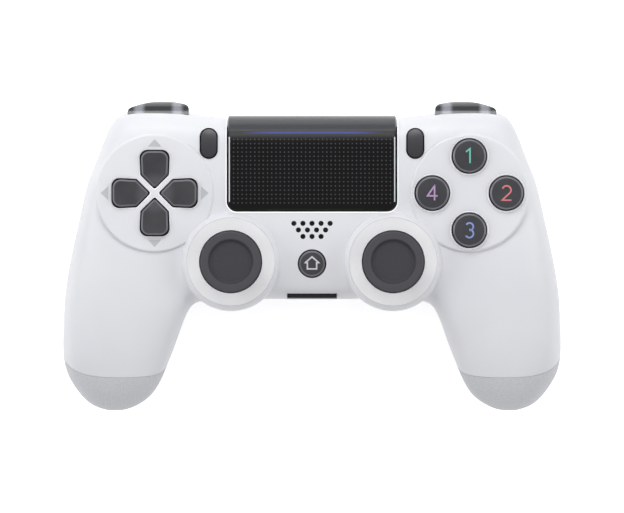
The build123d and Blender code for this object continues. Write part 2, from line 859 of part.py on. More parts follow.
def round_key(x, y, key_r, top_z, crown, flange, flange_z, flange_top_z):
    """A round key with a softly crowned top, a flange drawn by the caller and a stem."""
    with BuildPart() as key:
        with BuildSketch(upright(x, y)):
            with BuildLine():
                side_line = Line((key_r, flange_z), (key_r, top_z - key_bevel))
                bevel = Line(side_line @ 1, (key_r - key_bevel, top_z - key_bevel / 3))
                crown_line = TangentArc((0, top_z + crown - key_bevel / 3), bevel @ 1, tangent=(1, 0))
                Polyline(crown_line @ 0, (0, flange_z), side_line @ 0)
            make_face()
        revolve(axis=upright_axis(x, y))
        with BuildSketch(Plane((x, y, flange_z))):
            add(flange)
        extrude(amount=flange_top_z - flange_z)
        with BuildSketch(Plane((x, y, stem_bottom))):
            Circle(stem_r)
        extrude(amount=flange_z - stem_bottom)
    return key.part


# Four face buttons, each kept in by two lugs across the line to the pad's middle
button_names = ("button_top", "button_right", "button_bottom", "button_left")
for name, (dx, dy) in zip(button_names, button_places(button_radius)):
    with BuildSketch() as button_flange:
        Circle(button_opening_r - key_gap)
        RectangleRounded(
            button_lug_length if dy else button_lug_width,
            button_lug_width if dy else button_lug_length,
            button_lug_width / 4,
        )
    button = round_key(
        pad_x + dx,
        pad_y + dy,
        button_opening_r - key_gap,
        key_top,
        button_crown,
        button_flange.sketch,
        well_top - seat_gap - flange_thickness,
        well_top - seat_gap,
    )
    keep(button, name)

# Home button
with BuildSketch() as home_flange:
    Circle(home_flange_r)
home = round_key(
    0,
    home_y,
    home_opening_r - key_gap,
    face_height + home_rise,
    button_crown,
    home_flange.sketch,
    ceiling_z - home_flange_drop - home_flange_thickness,
    ceiling_z - home_flange_drop,
)
keep(home, "home_button")

# The two upright function buttons, which follow the rounding of the body's top edge
key_cap = body_solid(body_slice_shares[:option_slice_count], -option_rise)
option_flange_top = face_height - option_flange_drop
option_stem_bottom = option_flange_top - flange_thickness
for name, side in sides.items():
    with BuildPart() as option_key:
        with BuildSketch(Plane((side * option_x, option_y, option_stem_bottom))):
            SlotOverall(option_key_length, option_key_width, rotation=90)
        extrude(amount=face_height)
        add(key_cap, mode=Mode.INTERSECT)
        with BuildSketch(Plane((side * option_x, option_y, option_stem_bottom))):
            RectangleRounded(option_flange_width, option_flange_length, flange_thickness)
        extrude(amount=flange_thickness)
    keep(option_key.part, f"{name}_function_button")

# Centre membranes: the small domes under the function buttons and the home button
option_base_z = face_height - option_base_drop
option_dome_top = option_stem_bottom - dome_seat_gap
with BuildPart() as centre_membranes:
    with BuildSketch(Plane.XY.offset(option_base_z)):
        with Locations((-option_x, option_y), (option_x, option_y)):
            Circle(option_post_r)
    extrude(amount=membrane_thickness)
    with BuildSketch(Plane.XY.offset(option_base_z + membrane_thickness)):
        with Locations((-option_x, option_y), (option_x, option_y)):
            Circle(option_post_r - dome_wall)
    extrude(amount=option_dome_top - option_base_z - membrane_thickness)
    with BuildSketch(Plane.XY.offset(option_base_z)):
        with Locations((-option_x, option_y), (option_x, option_y)):
            Circle(option_post_r - 2 * dome_wall)
    extrude(amount=option_dome_top - option_base_z - dome_wall, mode=Mode.SUBTRACT)
    add(membrane(Plane((0, home_y, 0)), dome_outer_r + dome_wall, [(0, 0)], True))
keep(centre_membranes.part, "centre_membranes")

# Control film: the printed contact sheet under both key membranes, one piece with its middle ribbon
with BuildPart() as control_film:
    with BuildSketch(Plane.XY.offset(platform_top_z)):
        with Locations((-pad_x, pad_y), (pad_x, pad_y)):
            Circle(membrane_r)
        with Locations((0, ribbon_y)):
            Rectangle(2 * pad_x, ribbon_width)
        with Locations((-pad_x, pad_y)):
            Circle(post_hole_r, mode=Mode.SUBTRACT)
    extrude(amount=film_thickness)
keep(control_film.part, "control_film")

# Mid frame: the tray behind the main board, with wings under the key membranes and small posts
web_x = board_half_width - wing_web_thickness / 2
with BuildPart() as mid_frame:
    with BuildSketch(Plane.XY.offset(tray_bottom_z)):
        with Locations((0, (option_y + option_post_r + board_front_y) / 2)):
            RectangleRounded(2 * board_half_width, option_y + option_post_r - board_front_y, board_round)
        with Locations(*[(side * x, y) for side in (-1, 1) for x, y in screw_places]):
            Circle(screw_boss_r + seat_gap, mode=Mode.SUBTRACT)
    extrude(amount=tray_thickness)
    with BuildSketch(Plane.XY.offset(platform_bottom_z)):
        with Locations((-pad_x, pad_y), (pad_x, pad_y)):
            Circle(membrane_r)
    extrude(amount=platform_thickness)
    with BuildSketch(Plane.XY.offset(tray_bottom_z)):
        with Locations((-web_x, pad_y), (web_x, pad_y)):
            Rectangle(wing_web_thickness, wing_web_length)
    extrude(amount=platform_top_z - tray_bottom_z)
    with BuildSketch(Plane.XY.offset(tray_bottom_z)):
        with Locations((-option_x, option_y), (option_x, option_y)):
            Circle(option_post_r)
    extrude(amount=option_base_z - tray_bottom_z)
    with BuildSketch(Plane.XY.offset(tray_bottom_z)):
        with Locations((0, touch_switch_y)):
            Circle(touch_switch_side / 2)
    extrude(amount=switch_base_z - tray_bottom_z)
    with BuildSketch(Plane.XY.offset(tray_bottom_z)):
        with Locations((-bridge_leg_x, home_y), (bridge_leg_x, home_y)):
            Rectangle(bridge_leg_width, bridge_leg_length)
    extrude(amount=membrane_base_z - tray_bottom_z)
    with BuildSketch(Plane.XY.offset(platform_bottom_z)):
        with Locations((0, home_y)):
            Rectangle(2 * bridge_leg_x + bridge_leg_width, 2 * (dome_outer_r + bridge_margin))
    extrude(amount=membrane_base_z - platform_bottom_z)
keep(mid_frame.part, "mid_frame")

# Main board, with cut-outs for the frame's posts, legs and webs
with BuildPart() as main_board:
    with BuildSketch(Plane.XY.offset(board_bottom_z)):
        with Locations((0, (board_front_y + board_back_y) / 2)):
            RectangleRounded(2 * board_half_width, board_back_y - board_front_y, board_round)
        with Locations((-web_x, pad_y), (web_x, pad_y)):
            Rectangle(wing_web_thickness * 2, wing_web_length + 2 * seat_gap, mode=Mode.SUBTRACT)
        with Locations((0, touch_switch_y)):
            Circle(touch_switch_side / 2 + seat_gap, mode=Mode.SUBTRACT)
        with Locations((-bridge_leg_x, home_y), (bridge_leg_x, home_y)):
            Rectangle(
                bridge_leg_width + 2 * seat_gap, bridge_leg_length + 2 * seat_gap, mode=Mode.SUBTRACT
            )
    extrude(amount=board_thickness)
keep(main_board.part, "main_board")

# Board chips
with BuildPart() as board_chips:
    with BuildSketch(Plane.XY.offset(board_top_z)):
        with Locations((0, speaker_y)):
            Rectangle(large_chip_side, large_chip_side)
        with Locations((-small_chip_x, touch_switch_y), (small_chip_x, touch_switch_y)):
            Rectangle(small_chip_side, small_chip_side)
    extrude(amount=chip_height)
keep(board_chips.part, "board_chips")

# Battery: a flat pack under the tray
with BuildPart() as battery:
    with BuildSketch(Plane.XY.offset(tray_bottom_z - seat_gap - battery_thickness)):
        with Locations((0, (battery_front_y + battery_back_y) / 2)):
            RectangleRounded(2 * battery_half_width, battery_back_y - battery_front_y, battery_round)
    extrude(amount=battery_thickness)
    fillet(battery.faces().filter_by(Axis.Z).edges(), battery_thickness / 4)
keep(battery.part, "battery")

# Charging board on the back shell's posts, with its socket
with BuildPart() as charge_board:
    with BuildSketch(Plane.XY.offset(charge_board_z)):
        with Locations((0, (charge_front_y + charge_back_y) / 2)):
            Rectangle(2 * charge_half_width, charge_back_y - charge_front_y)
    extrude(amount=charge_board_thickness)
keep(charge_board.part, "charge_board")

usb_base_z = charge_board_z + charge_board_thickness
with BuildPart() as usb_socket:
    with BuildSketch(Plane.XZ.offset(-usb_mouth_y)):
        with Locations((0, usb_base_z + usb_height / 2)):
            Rectangle(usb_width, usb_height)
            Rectangle(usb_width - 2 * usb_shell, usb_height - 2 * usb_shell, mode=Mode.SUBTRACT)
            Rectangle(usb_tongue_width, usb_tongue_height)
    extrude(amount=usb_length)
    with BuildSketch(Plane.XZ.offset(usb_length - usb_mouth_y)):
        with Locations((0, usb_base_z + usb_height / 2)):
            Rectangle(usb_width, usb_height)
    extrude(amount=-usb_shell)
keep(usb_socket.part, "usb_socket")

# Speaker: an oval can against the shell under its holes
speaker_top = ceiling_z - seat_gap
with BuildPart() as speaker:
    with BuildSketch(Plane.XY.offset(speaker_top - speaker_depth)):
        with Locations((0, speaker_y)):
            RectangleRounded(speaker_length, speaker_width, speaker_corner_r)
    extrude(amount=speaker_depth)
    with BuildSketch(Plane.XY.offset(speaker_top - usb_shell)):
        with Locations((0, speaker_y)):
            RectangleRounded(
                speaker_length - speaker_corner_r, speaker_width - speaker_corner_r, speaker_corner_r / 2
            )
    extrude(amount=usb_shell, mode=Mode.SUBTRACT)
keep(speaker.part, "speaker")

# Extension port: a slotted block on two legs, astride the headset jack
port_depth = port_back_y - port_front_y
with BuildPart() as extension_port:
    with BuildSketch(Plane.XZ.offset(-port_front_y)):
        with Locations((0, (port_top_z + port_bottom_z + port_gap) / 2)):
            Rectangle(2 * (port_half_width - port_gap), port_top_z - port_bottom_z - port_gap)
    extrude(amount=-port_depth)
    with BuildSketch(Plane.XZ.offset(-port_front_y)):
        with Locations((0, (port_top_z + port_bottom_z) / 2)):
            Rectangle(port_slot_width, port_slot_height)
    extrude(amount=port_back_wall - port_depth, mode=Mode.SUBTRACT)
    leg_x = port_half_width - port_gap - port_leg_width / 2
    leg_y = (board_front_y + port_back_y) / 2
    with BuildSketch(Plane.XY.offset(board_top_z)):
        with Locations((-leg_x, leg_y), (leg_x, leg_y)):
            Rectangle(port_leg_width, port_back_y - board_front_y)
    extrude(amount=port_bottom_z + port_gap * 2 - board_top_z)
keep(extension_port.part, "extension_port")

# Headset jack: a barrel on the board's front edge, open at its mouth
jack_z = board_top_z + jack_r
with BuildPart() as headset_jack:
    with BuildSketch(Plane.XZ.offset(-board_front_y)):
        with Locations((0, jack_z)):
            Circle(jack_r)
        with Locations((0, jack_z - jack_r / 2)):
            Rectangle(2 * jack_r, jack_r)
    extrude(amount=board_front_y - port_front_y - jack_length - jack_collar_length)
    with BuildSketch(Plane.XZ.offset(-port_front_y)):
        with Locations((0, jack_z)):
            Circle(jack_r)
    extrude(amount=port_front_y - board_front_y)
    with BuildSketch(Plane.XZ.offset(-port_front_y)):
        with Locations((0, jack_z)):
            Circle(jack_collar_r)
    extrude(amount=-jack_collar_length)
    with BuildSketch(Plane.XZ.offset(-port_front_y)):
        with Locations((0, jack_z)):
            Circle(jack_bore_r)
    extrude(amount=-jack_length, mode=Mode.SUBTRACT)
keep(headset_jack.part, "headset_jack")


def stick_pieces(name, side):
    """All the pieces of one thumb stick, from its cap down to the spring under its plunger."""
    x, y, z = side * stick_x, stick_y, pivot_height
    here = Plane((x, y, z))
    cap_bottom = cap_top - cap_thickness
    dome_top_z = z + dome_r
    with BuildPart() as cap:
        with BuildSketch(upright(x, y)):
            with BuildLine():
                Polyline(
                    (0, cap_bottom),
                    (neck_r, cap_bottom),
                    (cap_r, cap_top - cap_rim_round - cap_side),
                    (cap_r, cap_top - cap_rim_round),
                )
                ThreePointArc(
                    (cap_r, cap_top - cap_rim_round),
                    (cap_r - cap_rim_round * cap_round_share, cap_top - cap_rim_round * cap_round_share),
                    (cap_r - cap_rim_round, cap_top),
                )
                Polyline((cap_r - cap_rim_round, cap_top), (cap_rim_r, cap_top))
                Spline(
                    (cap_rim_r, cap_top),
                    ((cap_rim_r + cap_dish_r) / 2, cap_top - cap_dish_depth / 2),
                    (cap_dish_r, cap_top - cap_dish_depth),
                    tangents=[(-1, 0), (-1, 0)],
                )
                Polyline(
                    (cap_dish_r, cap_top - cap_dish_depth),
                    (0, cap_top - cap_dish_depth),
                    (0, cap_bottom),
                )
            make_face()
        revolve(axis=upright_axis(x, y))
        with BuildSketch(Plane((x, y, cap_bottom))):
            Circle(cap_socket_r)
        extrude(amount=cap_socket_depth, mode=Mode.SUBTRACT)
    keep(cap.part, f"{name}_stick_cap")

    edge = math_angle(dome_edge_angle)
    outer_edge = (dome_r * edge[1], z + dome_r * edge[0])
    inner_r = dome_r - dome_thickness
    inner_edge = (inner_r * edge[1], z + inner_r * edge[0])
    half = math_angle(dome_edge_angle / 2)
    with BuildPart() as shaft:
        with BuildSketch(upright(x, y)):
            with BuildLine():
                ThreePointArc((0, z + dome_r), (dome_r * half[1], z + dome_r * half[0]), outer_edge)
                Line(outer_edge, inner_edge)
                ThreePointArc(inner_edge, (inner_r * half[1], z + inner_r * half[0]), (0, z + inner_r))
                Line((0, z + inner_r), (0, z + dome_r))
            make_face()
        revolve(axis=upright_axis(x, y))
        with BuildSketch(Plane((x, y, dome_top_z - dome_thickness))):
            Circle(neck_r)
        extrude(amount=cap_bottom - dome_top_z + dome_thickness)
        with BuildSketch(Plane((x, y, cap_bottom))):
            Circle(cap_socket_r - running_gap)
        extrude(amount=cap_socket_depth - running_gap)
        with BuildSketch(Plane((x, y, z - shaft_foot_r))):
            Circle(shaft_r)
        extrude(amount=shaft_foot_r + inner_r + dome_thickness / 2)
        with BuildSketch(Plane((x, y, z), x_dir=(1, 0, 0), z_dir=(0, 1, 0))):
            Circle(cross_pin_r)
        extrude(amount=block_width / 2, both=True)
        with BuildSketch(upright(x, y)):
            with Locations((shaft_foot_r / 2, z - shaft_foot_r / 2)):
                Rectangle(shaft_foot_r, shaft_foot_r)
            with Locations((0, z)):
                Circle(shaft_foot_r, mode=Mode.SUBTRACT)
        revolve(axis=upright_axis(x, y), mode=Mode.SUBTRACT)
    keep(shaft.part, f"{name}_stick_shaft")

    floor_z = board_top_z + component_gap
    rim_z = z + module_rim_rise
    inside = module_half - module_wall
    with BuildPart() as housing:
        with BuildSketch(Plane((x, y, floor_z))):
            Rectangle(2 * module_half, 2 * module_half)
        extrude(amount=rim_z - floor_z)
        with BuildSketch(Plane((x, y, floor_z + module_floor))):
            Rectangle(2 * inside, 2 * inside)
        extrude(amount=rim_z - floor_z, mode=Mode.SUBTRACT)
        slot_r = journal_r + running_gap
        with BuildSketch(Plane((x, y, z), x_dir=(0, 1, 0), z_dir=(1, 0, 0))):
            Circle(slot_r)
            with Locations((0, (module_rim_rise - stick_click) / 2)):
                Rectangle(2 * slot_r, module_rim_rise + stick_click)
            with Locations((0, -stick_click)):
                Circle(slot_r)
        extrude(amount=module_half * 2, both=True, mode=Mode.SUBTRACT)
        with BuildSketch(Plane((x, y, z), x_dir=(1, 0, 0), z_dir=(0, 1, 0))):
            Circle(slot_r)
            with Locations((0, module_rim_rise / 2)):
                Rectangle(2 * slot_r, module_rim_rise)
        extrude(amount=module_half * 2, both=True, mode=Mode.SUBTRACT)
    keep(housing.part, f"{name}_stick_housing")

    with BuildPart() as lower_rocker:
        with BuildSketch(here.offset(-block_height / 2)):
            Rectangle(block_length, block_width)
            Rectangle(2 * block_slot_half, 2 * (shaft_r + shaft_slot_gap), mode=Mode.SUBTRACT)
        extrude(amount=block_height)
        for end in (-1, 1):
            with BuildSketch(Plane((x + end * module_half, y, z), x_dir=(0, 1, 0), z_dir=(-end, 0, 0))):
                Circle(journal_r)
            extrude(amount=module_half - journal_inner)
        with BuildSketch(Plane((x, y, z), x_dir=(1, 0, 0), z_dir=(0, 1, 0))):
            Circle(cross_pin_r + running_gap)
        extrude(amount=block_width, both=True, mode=Mode.SUBTRACT)
    keep(lower_rocker.part, f"{name}_stick_lower_rocker")

    arch_outer_r = arch_inner_r + arch_thickness
    with BuildPart() as upper_rocker:
        with BuildSketch(Plane((x, y, z), x_dir=(0, 1, 0), z_dir=(1, 0, 0))):
            Circle(arch_outer_r)
            Circle(arch_inner_r, mode=Mode.SUBTRACT)
            with Locations((0, -arch_outer_r - journal_r)):
                Rectangle(2 * arch_outer_r, 2 * arch_outer_r, mode=Mode.SUBTRACT)
        extrude(amount=arch_half_width, both=True)
        with BuildSketch(here):
            Rectangle(2 * (shaft_r + shaft_slot_gap), 2 * arch_slot_half)
        extrude(amount=arch_outer_r, mode=Mode.SUBTRACT)
        for end in (-1, 1):
            with BuildSketch(Plane((x, y + end * module_half, z), x_dir=(1, 0, 0), z_dir=(0, -end, 0))):
                Circle(journal_r)
            extrude(amount=module_half - arch_inner_r - arch_thickness / 2)
    keep(upper_rocker.part, f"{name}_stick_upper_rocker")

    plunger_top = z - shaft_foot_r - plunger_gap
    spring_floor = floor_z + module_floor
    with BuildPart() as plunger:
        with BuildSketch(Plane((x, y, plunger_top - plunger_thickness))):
            Circle(plunger_r)
        extrude(amount=plunger_thickness)
        with BuildSketch(Plane((x, y, spring_floor + stick_click + plunger_gap))):
            Circle(plunger_boss_r)
        extrude(amount=plunger_top - plunger_thickness - spring_floor - stick_click - plunger_gap)
    keep(plunger.part, f"{name}_stick_plunger")

    with BuildPart() as spring:
        with BuildSketch(Plane((x, y, spring_floor + running_gap))):
            Circle(stick_spring_r)
            Circle(stick_spring_r - stick_spring_wall, mode=Mode.SUBTRACT)
        extrude(amount=plunger_top - plunger_thickness - spring_floor - 2 * running_gap)
    keep(spring.part, f"{name}_stick_spring")

    sensor_x = x + side * (module_half + component_gap + sensor_thickness / 2)
    sensor_y = y + module_half + component_gap + sensor_thickness / 2
    with BuildPart() as sensors:
        with BuildSketch(Plane.XY.offset(floor_z)):
            with Locations((sensor_x, y)):
                Rectangle(sensor_thickness, sensor_width)
            with Locations((x, sensor_y)):
                Rectangle(sensor_width, sensor_thickness)
        extrude(amount=sensor_height)
    keep(sensors.part, f"{name}_stick_sensors")


def math_angle(degrees):
    """Cosine and sine of an angle in degrees."""
    radians = np.radians(degrees)
    return float(np.cos(radians)), float(np.sin(radians))


for name, side in sides.items():
    stick_pieces(name, side)

# The click switches beside both stick modules
with BuildPart() as stick_click_switches:
    switch_x = stick_x - module_half - component_gap - click_switch_length / 2
    with BuildSketch(Plane.XY.offset(board_top_z)):
        with Locations((-switch_x, stick_y), (switch_x, stick_y)):
            Rectangle(click_switch_length, click_switch_width)
    extrude(amount=click_switch_height)
keep(stick_click_switches.part, "stick_click_switches")

# Shoulder outlines, seen from the side
bumper_top_z = bay_top_z - seat_gap
bumper_height = bumper_top_z - bumper_bottom_z
bumper_face_shares = ((0.0, 1.0), (0.45, 0.86), (0.84, 0.62), (1.0, 0.36), (0.95, 0.0))
trigger_face_shares = (
    (0.80, 0.145),
    (0.93, 0.09),
    (0.98, -0.20),
    (0.90, -0.55),
    (0.90, -0.80),
    (1.0, -0.955),
)
trigger_tip_shares = ((1.0, -0.955), (0.90, -1.0), (0.74, -0.965))
trigger_back_shares = ((0.74, -0.965), (0.57, -0.72), (0.27, -0.43), (-0.16, -0.25))
trigger_heel_shares = ((-0.16, -0.25), (-0.27, -0.09), (-0.27, 0.05), (-0.18, 0.145))
shelf_top_z = bumper_bottom_z - seat_gap
shelf_bottom_z = shelf_top_z - shelf_thickness
key_half = shoulder_half_width - shoulder_gap


def bumper_outline(set_back, set_down):
    """The bumper's outline from the side: its curved face down to the shelf and its straight back."""
    foot_y = bumper_crown_y - bumper_bulge
    face = [
        (foot_y + a * bumper_bulge - set_back, bumper_bottom_z + b * bumper_height - set_down)
        for a, b in bumper_face_shares
    ]
    with BuildSketch(Plane.YZ.offset(-half_width)) as outline:
        with BuildLine():
            Spline(*face)
            Polyline(
                face[-1],
                (bumper_back_y - set_back, bumper_bottom_z - set_down),
                (bumper_back_y - set_back, bumper_top_z - set_down),
                face[0],
            )
        make_face()
    return outline.sketch


def bowed_plan(side, half, set_back, back_y, corner_r):
    """A shoulder key's outline from above: a bowed face between two ends and a straight back."""
    x = side * shoulder_x
    outer_x, inner_x = x + side * half, x - side * half
    crown_y = bumper_crown_y - set_back
    with BuildSketch(Plane.XY.offset(-overrun)) as plan:
        with BuildLine():
            bow = ThreePointArc(
                (outer_x, crown_y - bumper_outer_end_drop),
                (x, crown_y),
                (inner_x, crown_y - bumper_inner_end_drop),
            )
            Polyline(bow @ 1, (inner_x, back_y), (outer_x, back_y), bow @ 0)
        make_face()
        fillet(plan.vertices().group_by(Axis.Y)[-1] + plan.vertices().group_by(Axis.Y)[-2], corner_r)
    return plan.sketch


def shoulder_pieces(name, side):
    """Bumper, trigger, trigger spring and their frame on one side."""
    x = side * shoulder_x
    pin_x = x - side * (key_half - bumper_pin_inset)
    rind = extrude(bumper_outline(0, 0), amount=2 * half_width)
    core = extrude(bumper_outline(bumper_wall, bumper_wall), amount=2 * half_width)
    core &= extrude(
        bowed_plan(
            side, key_half - bumper_wall, bumper_wall, bumper_back_y - bumper_wall, bumper_corner_r / 2
        ),
        amount=face_height + overrun,
    )
    with BuildPart() as bumper:
        add(bowed_plan(side, key_half, 0, bumper_back_y, bumper_corner_r))
        extrude(amount=face_height + overrun)
        add(rind, mode=Mode.INTERSECT)
        add(core, mode=Mode.SUBTRACT)
        arm_end_y = bumper_pin_y - bumper_boss_r
        arm_length = bumper_crown_y - bumper_wall - arm_end_y
        with BuildSketch(Plane.XY.offset(bumper_arm_z)):
            with Locations((pin_x, arm_end_y + arm_length / 2)):
                Rectangle(2 * bumper_boss_r, arm_length)
        extrude(amount=bumper_arm_thickness)
        with BuildSketch(Plane((pin_x, bumper_pin_y, bumper_bottom_z))):
            Circle(bumper_pin_r)
        extrude(amount=bumper_arm_z - bumper_bottom_z)
        rib_tip_y = bumper_wall_y + frame_wall + bumper_dome_height + dome_seat_gap
        rib_length = bumper_crown_y - bumper_wall - rib_tip_y
        with BuildSketch(Plane.XY.offset(bumper_dome_z - bumper_dome_r / 2)):
            with Locations((x + side * bumper_rib_x, rib_tip_y + rib_length / 2)):
                Rectangle(bumper_rib_width, rib_length)
        extrude(amount=bumper_dome_r)
    keep(bumper.part, f"{name}_bumper")

    def trigger_line(shares):
        return [(trigger_hinge_y + a * trigger_reach, trigger_hinge_z + b * trigger_drop) for a, b in shares]

    face, tip = trigger_line(trigger_face_shares), trigger_line(trigger_tip_shares)
    back, heel = trigger_line(trigger_back_shares), trigger_line(trigger_heel_shares)
    with BuildSketch(Plane.YZ) as profile:
        with BuildLine():
            Spline(*face)
            ThreePointArc(*tip)
            Spline(*back)
            Spline(*heel)
            Line(heel[-1], face[0])
        make_face()
    trigger_top_z = face[0][1]
    skin_half = key_half - trigger_wall
    core_set_back = trigger_set_back + trigger_wall
    with BuildPart() as trigger:
        add(extrude(profile.sketch, amount=key_half, both=True, mode=Mode.PRIVATE).moved(Location((x, 0, 0))))
        plan = bowed_plan(side, key_half, trigger_set_back, bay_back_y, bumper_corner_r)
        add(extrude(plan, amount=face_height, mode=Mode.PRIVATE), mode=Mode.INTERSECT)
        core = extrude(profile.sketch, amount=skin_half, both=True, mode=Mode.PRIVATE)
        core = core.moved(Location((x, -trigger_wall, 0)))
        plan = bowed_plan(side, skin_half, core_set_back, bay_back_y - trigger_wall, bumper_corner_r / 2)
        core &= extrude(plan, amount=face_height, mode=Mode.PRIVATE)
        lid = Box(2 * key_half, half_depth, trigger_drop, mode=Mode.PRIVATE)
        lid = lid.moved(Location((x, trigger_hinge_y, trigger_top_z - trigger_wall + trigger_drop / 2)))
        add(core - lid, mode=Mode.SUBTRACT)
        open_y = trigger_hinge_y + knuckle_r + knuckle_gap
        with BuildSketch(Plane.XY.offset(trigger_hinge_z)):
            with Locations((x, open_y - half_depth / 2)):
                Rectangle(2 * skin_half, half_depth)
        extrude(amount=trigger_drop, mode=Mode.SUBTRACT)
        for end in (-1, 1):
            stub_end = (x + end * key_half, trigger_hinge_y, trigger_hinge_z)
            with BuildSketch(Plane(stub_end, x_dir=(0, 1, 0), z_dir=(-end, 0, 0))):
                Circle(trigger_stub_r)
            extrude(amount=key_half - knuckle_half_length / 2)
    keep(trigger.part, f"{name}_trigger")

    spring_in, spring_out = knuckle_half_length + trigger_stub_gap, skin_half - trigger_stub_gap
    spring_r = trigger_stub_r + trigger_stub_gap
    with BuildPart() as spring:
        with BuildSketch(Plane((x + side * spring_in, trigger_hinge_y, trigger_hinge_z), z_dir=(side, 0, 0))):
            Circle(spring_r + spring_wall)
            Circle(spring_r, mode=Mode.SUBTRACT)
        extrude(amount=spring_out - spring_in)
    keep(spring.part, f"{name}_trigger_spring")

    frame_half = shoulder_half_width + seat_gap + frame_wall
    back_y = bay_back_y - seat_gap - frame_wall
    with BuildPart() as frame:
        with BuildSketch(Plane.XY.offset(frame_floor_z)):
            with Locations((x, back_y + frame_wall / 2)):
                Rectangle(2 * frame_half, frame_wall)
        extrude(amount=shelf_top_z - frame_floor_z)
        with BuildSketch(Plane.XY.offset(frame_floor_z)):
            for end in (-1, 1):
                with Locations((x + end * (frame_half - frame_wall / 2), (back_y + frame_front_y) / 2)):
                    Rectangle(frame_wall, frame_front_y - back_y)
        extrude(amount=shelf_top_z - frame_floor_z)
        with BuildSketch(Plane.XY.offset(shelf_bottom_z)):
            for end in (-1, 1):
                wall_x = x + end * (frame_half - frame_wall / 2)
                with Locations((wall_x, (bumper_wall_y + frame_front_y) / 2)):
                    Rectangle(frame_wall, frame_front_y - bumper_wall_y)
        extrude(amount=frame_top_z - shelf_bottom_z)
        with BuildSketch(Plane.XY.offset(shelf_bottom_z)):
            with Locations((x, (back_y + frame_front_y) / 2)):
                Rectangle(2 * frame_half, frame_front_y - back_y)
        extrude(amount=shelf_thickness)
        with BuildSketch(Plane.XY.offset(shelf_bottom_z)):
            with Locations((x, bumper_wall_y + frame_wall / 2)):
                Rectangle(2 * frame_half, frame_wall)
        extrude(amount=frame_top_z - shelf_bottom_z)
        add(fit_body, mode=Mode.INTERSECT)
        with BuildSketch(Plane.YZ.offset(x)):
            with Locations((trigger_hinge_y, trigger_hinge_z)):
                Circle(knuckle_r)
            with Locations((trigger_hinge_y, (trigger_hinge_z + shelf_bottom_z) / 2)):
                Rectangle(web_thickness, shelf_bottom_z - trigger_hinge_z)
            with Locations((trigger_hinge_y, trigger_hinge_z)):
                Circle(trigger_stub_r + running_gap, mode=Mode.SUBTRACT)
        extrude(amount=knuckle_half_length, both=True)
        with BuildSketch(Plane((pin_x, bumper_pin_y, shelf_top_z))):
            Circle(bumper_boss_r)
        extrude(amount=bumper_arm_z - seat_gap - shelf_top_z)
        with BuildSketch(Plane((pin_x, bumper_pin_y, shelf_top_z))):
            Circle(bumper_pin_r + running_gap)
        extrude(amount=bumper_arm_z, mode=Mode.SUBTRACT)
    keep(frame.part, f"{name}_shoulder_frame")


for name, side in sides.items():
    shoulder_pieces(name, side)

# Shoulder membranes: one small dome behind each bumper's rib
with BuildPart() as shoulder_membranes:
    dome_x = shoulder_x + bumper_rib_x
    with BuildSketch(Plane.XZ.offset(-bumper_wall_y - frame_wall)):
        with Locations((-dome_x, bumper_dome_z), (dome_x, bumper_dome_z)):
            Circle(bumper_dome_r)
    extrude(amount=-bumper_dome_height)
keep(shoulder_membranes.part, "shoulder_membranes")

# Rumble motors and their eccentric weights, the left one larger
for name, side in sides.items():
    start, end = motor_x, motor_x + motor_length
    with BuildPart() as motor:
        with BuildSketch(Plane.YZ.offset(side * start)):
            with Locations((motor_y, motor_z)):
                Circle(motor_r[name])
        extrude(amount=side * motor_length)
        fillet(motor.edges(), motor_shaft_r)
        with BuildSketch(Plane.YZ.offset(side * end)):
            with Locations((motor_y, motor_z)):
                Circle(motor_shaft_r + running_gap)
        extrude(amount=-side * motor_length / 2, mode=Mode.SUBTRACT)
    keep(motor.part, f"{name}_rumble_motor")
    with BuildPart() as weight:
        with BuildSketch(Plane.YZ.offset(side * (end + motor_weight_gap))):
            with Locations((motor_y, motor_z)):
                Circle(weight_r[name])
            with Locations((motor_y, motor_z + weight_r[name] / 2 + motor_shaft_r)):
                Rectangle(2 * weight_r[name], weight_r[name], mode=Mode.SUBTRACT)
            with Locations((motor_y, motor_z)):
                Circle(2 * motor_shaft_r + motor_weight_gap)
        extrude(amount=side * weight_length[name])
        with BuildSketch(Plane.YZ.offset(side * (end - motor_length / 2 + seat_gap))):
            with Locations((motor_y, motor_z)):
                Circle(motor_shaft_r)
        extrude(amount=side * (motor_length / 2 - seat_gap + motor_weight_gap + weight_length[name] / 2))
    keep(weight.part, f"{name}_rumble_weight")

# Four shell screws, driven from the back
with BuildPart() as shell_screws:
    with BuildSketch(Plane.XY.offset(screw_head_z - screw_head_height)):
        with Locations(*[(side * x, y) for side in (-1, 1) for x, y in screw_places]):
            Circle(screw_head_r)
    extrude(amount=screw_head_height)
    with BuildSketch(Plane.XY.offset(screw_head_z)):
        with Locations(*[(side * x, y) for side in (-1, 1) for x, y in screw_places]):
            Circle(screw_r)
    extrude(amount=screw_joint_z + screw_bite - screw_head_z)
    with BuildSketch(Plane.XY.offset(screw_head_z - screw_head_height)):
        with Locations(*[(side * x, y) for side in (-1, 1) for x, y in screw_places]):
            Rectangle(screw_cross_length, screw_cross_width)
            Rectangle(screw_cross_width, screw_cross_length)
    extrude(amount=screw_cross_depth, mode=Mode.SUBTRACT)
keep(shell_screws.part, "shell_screws")
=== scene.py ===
import math

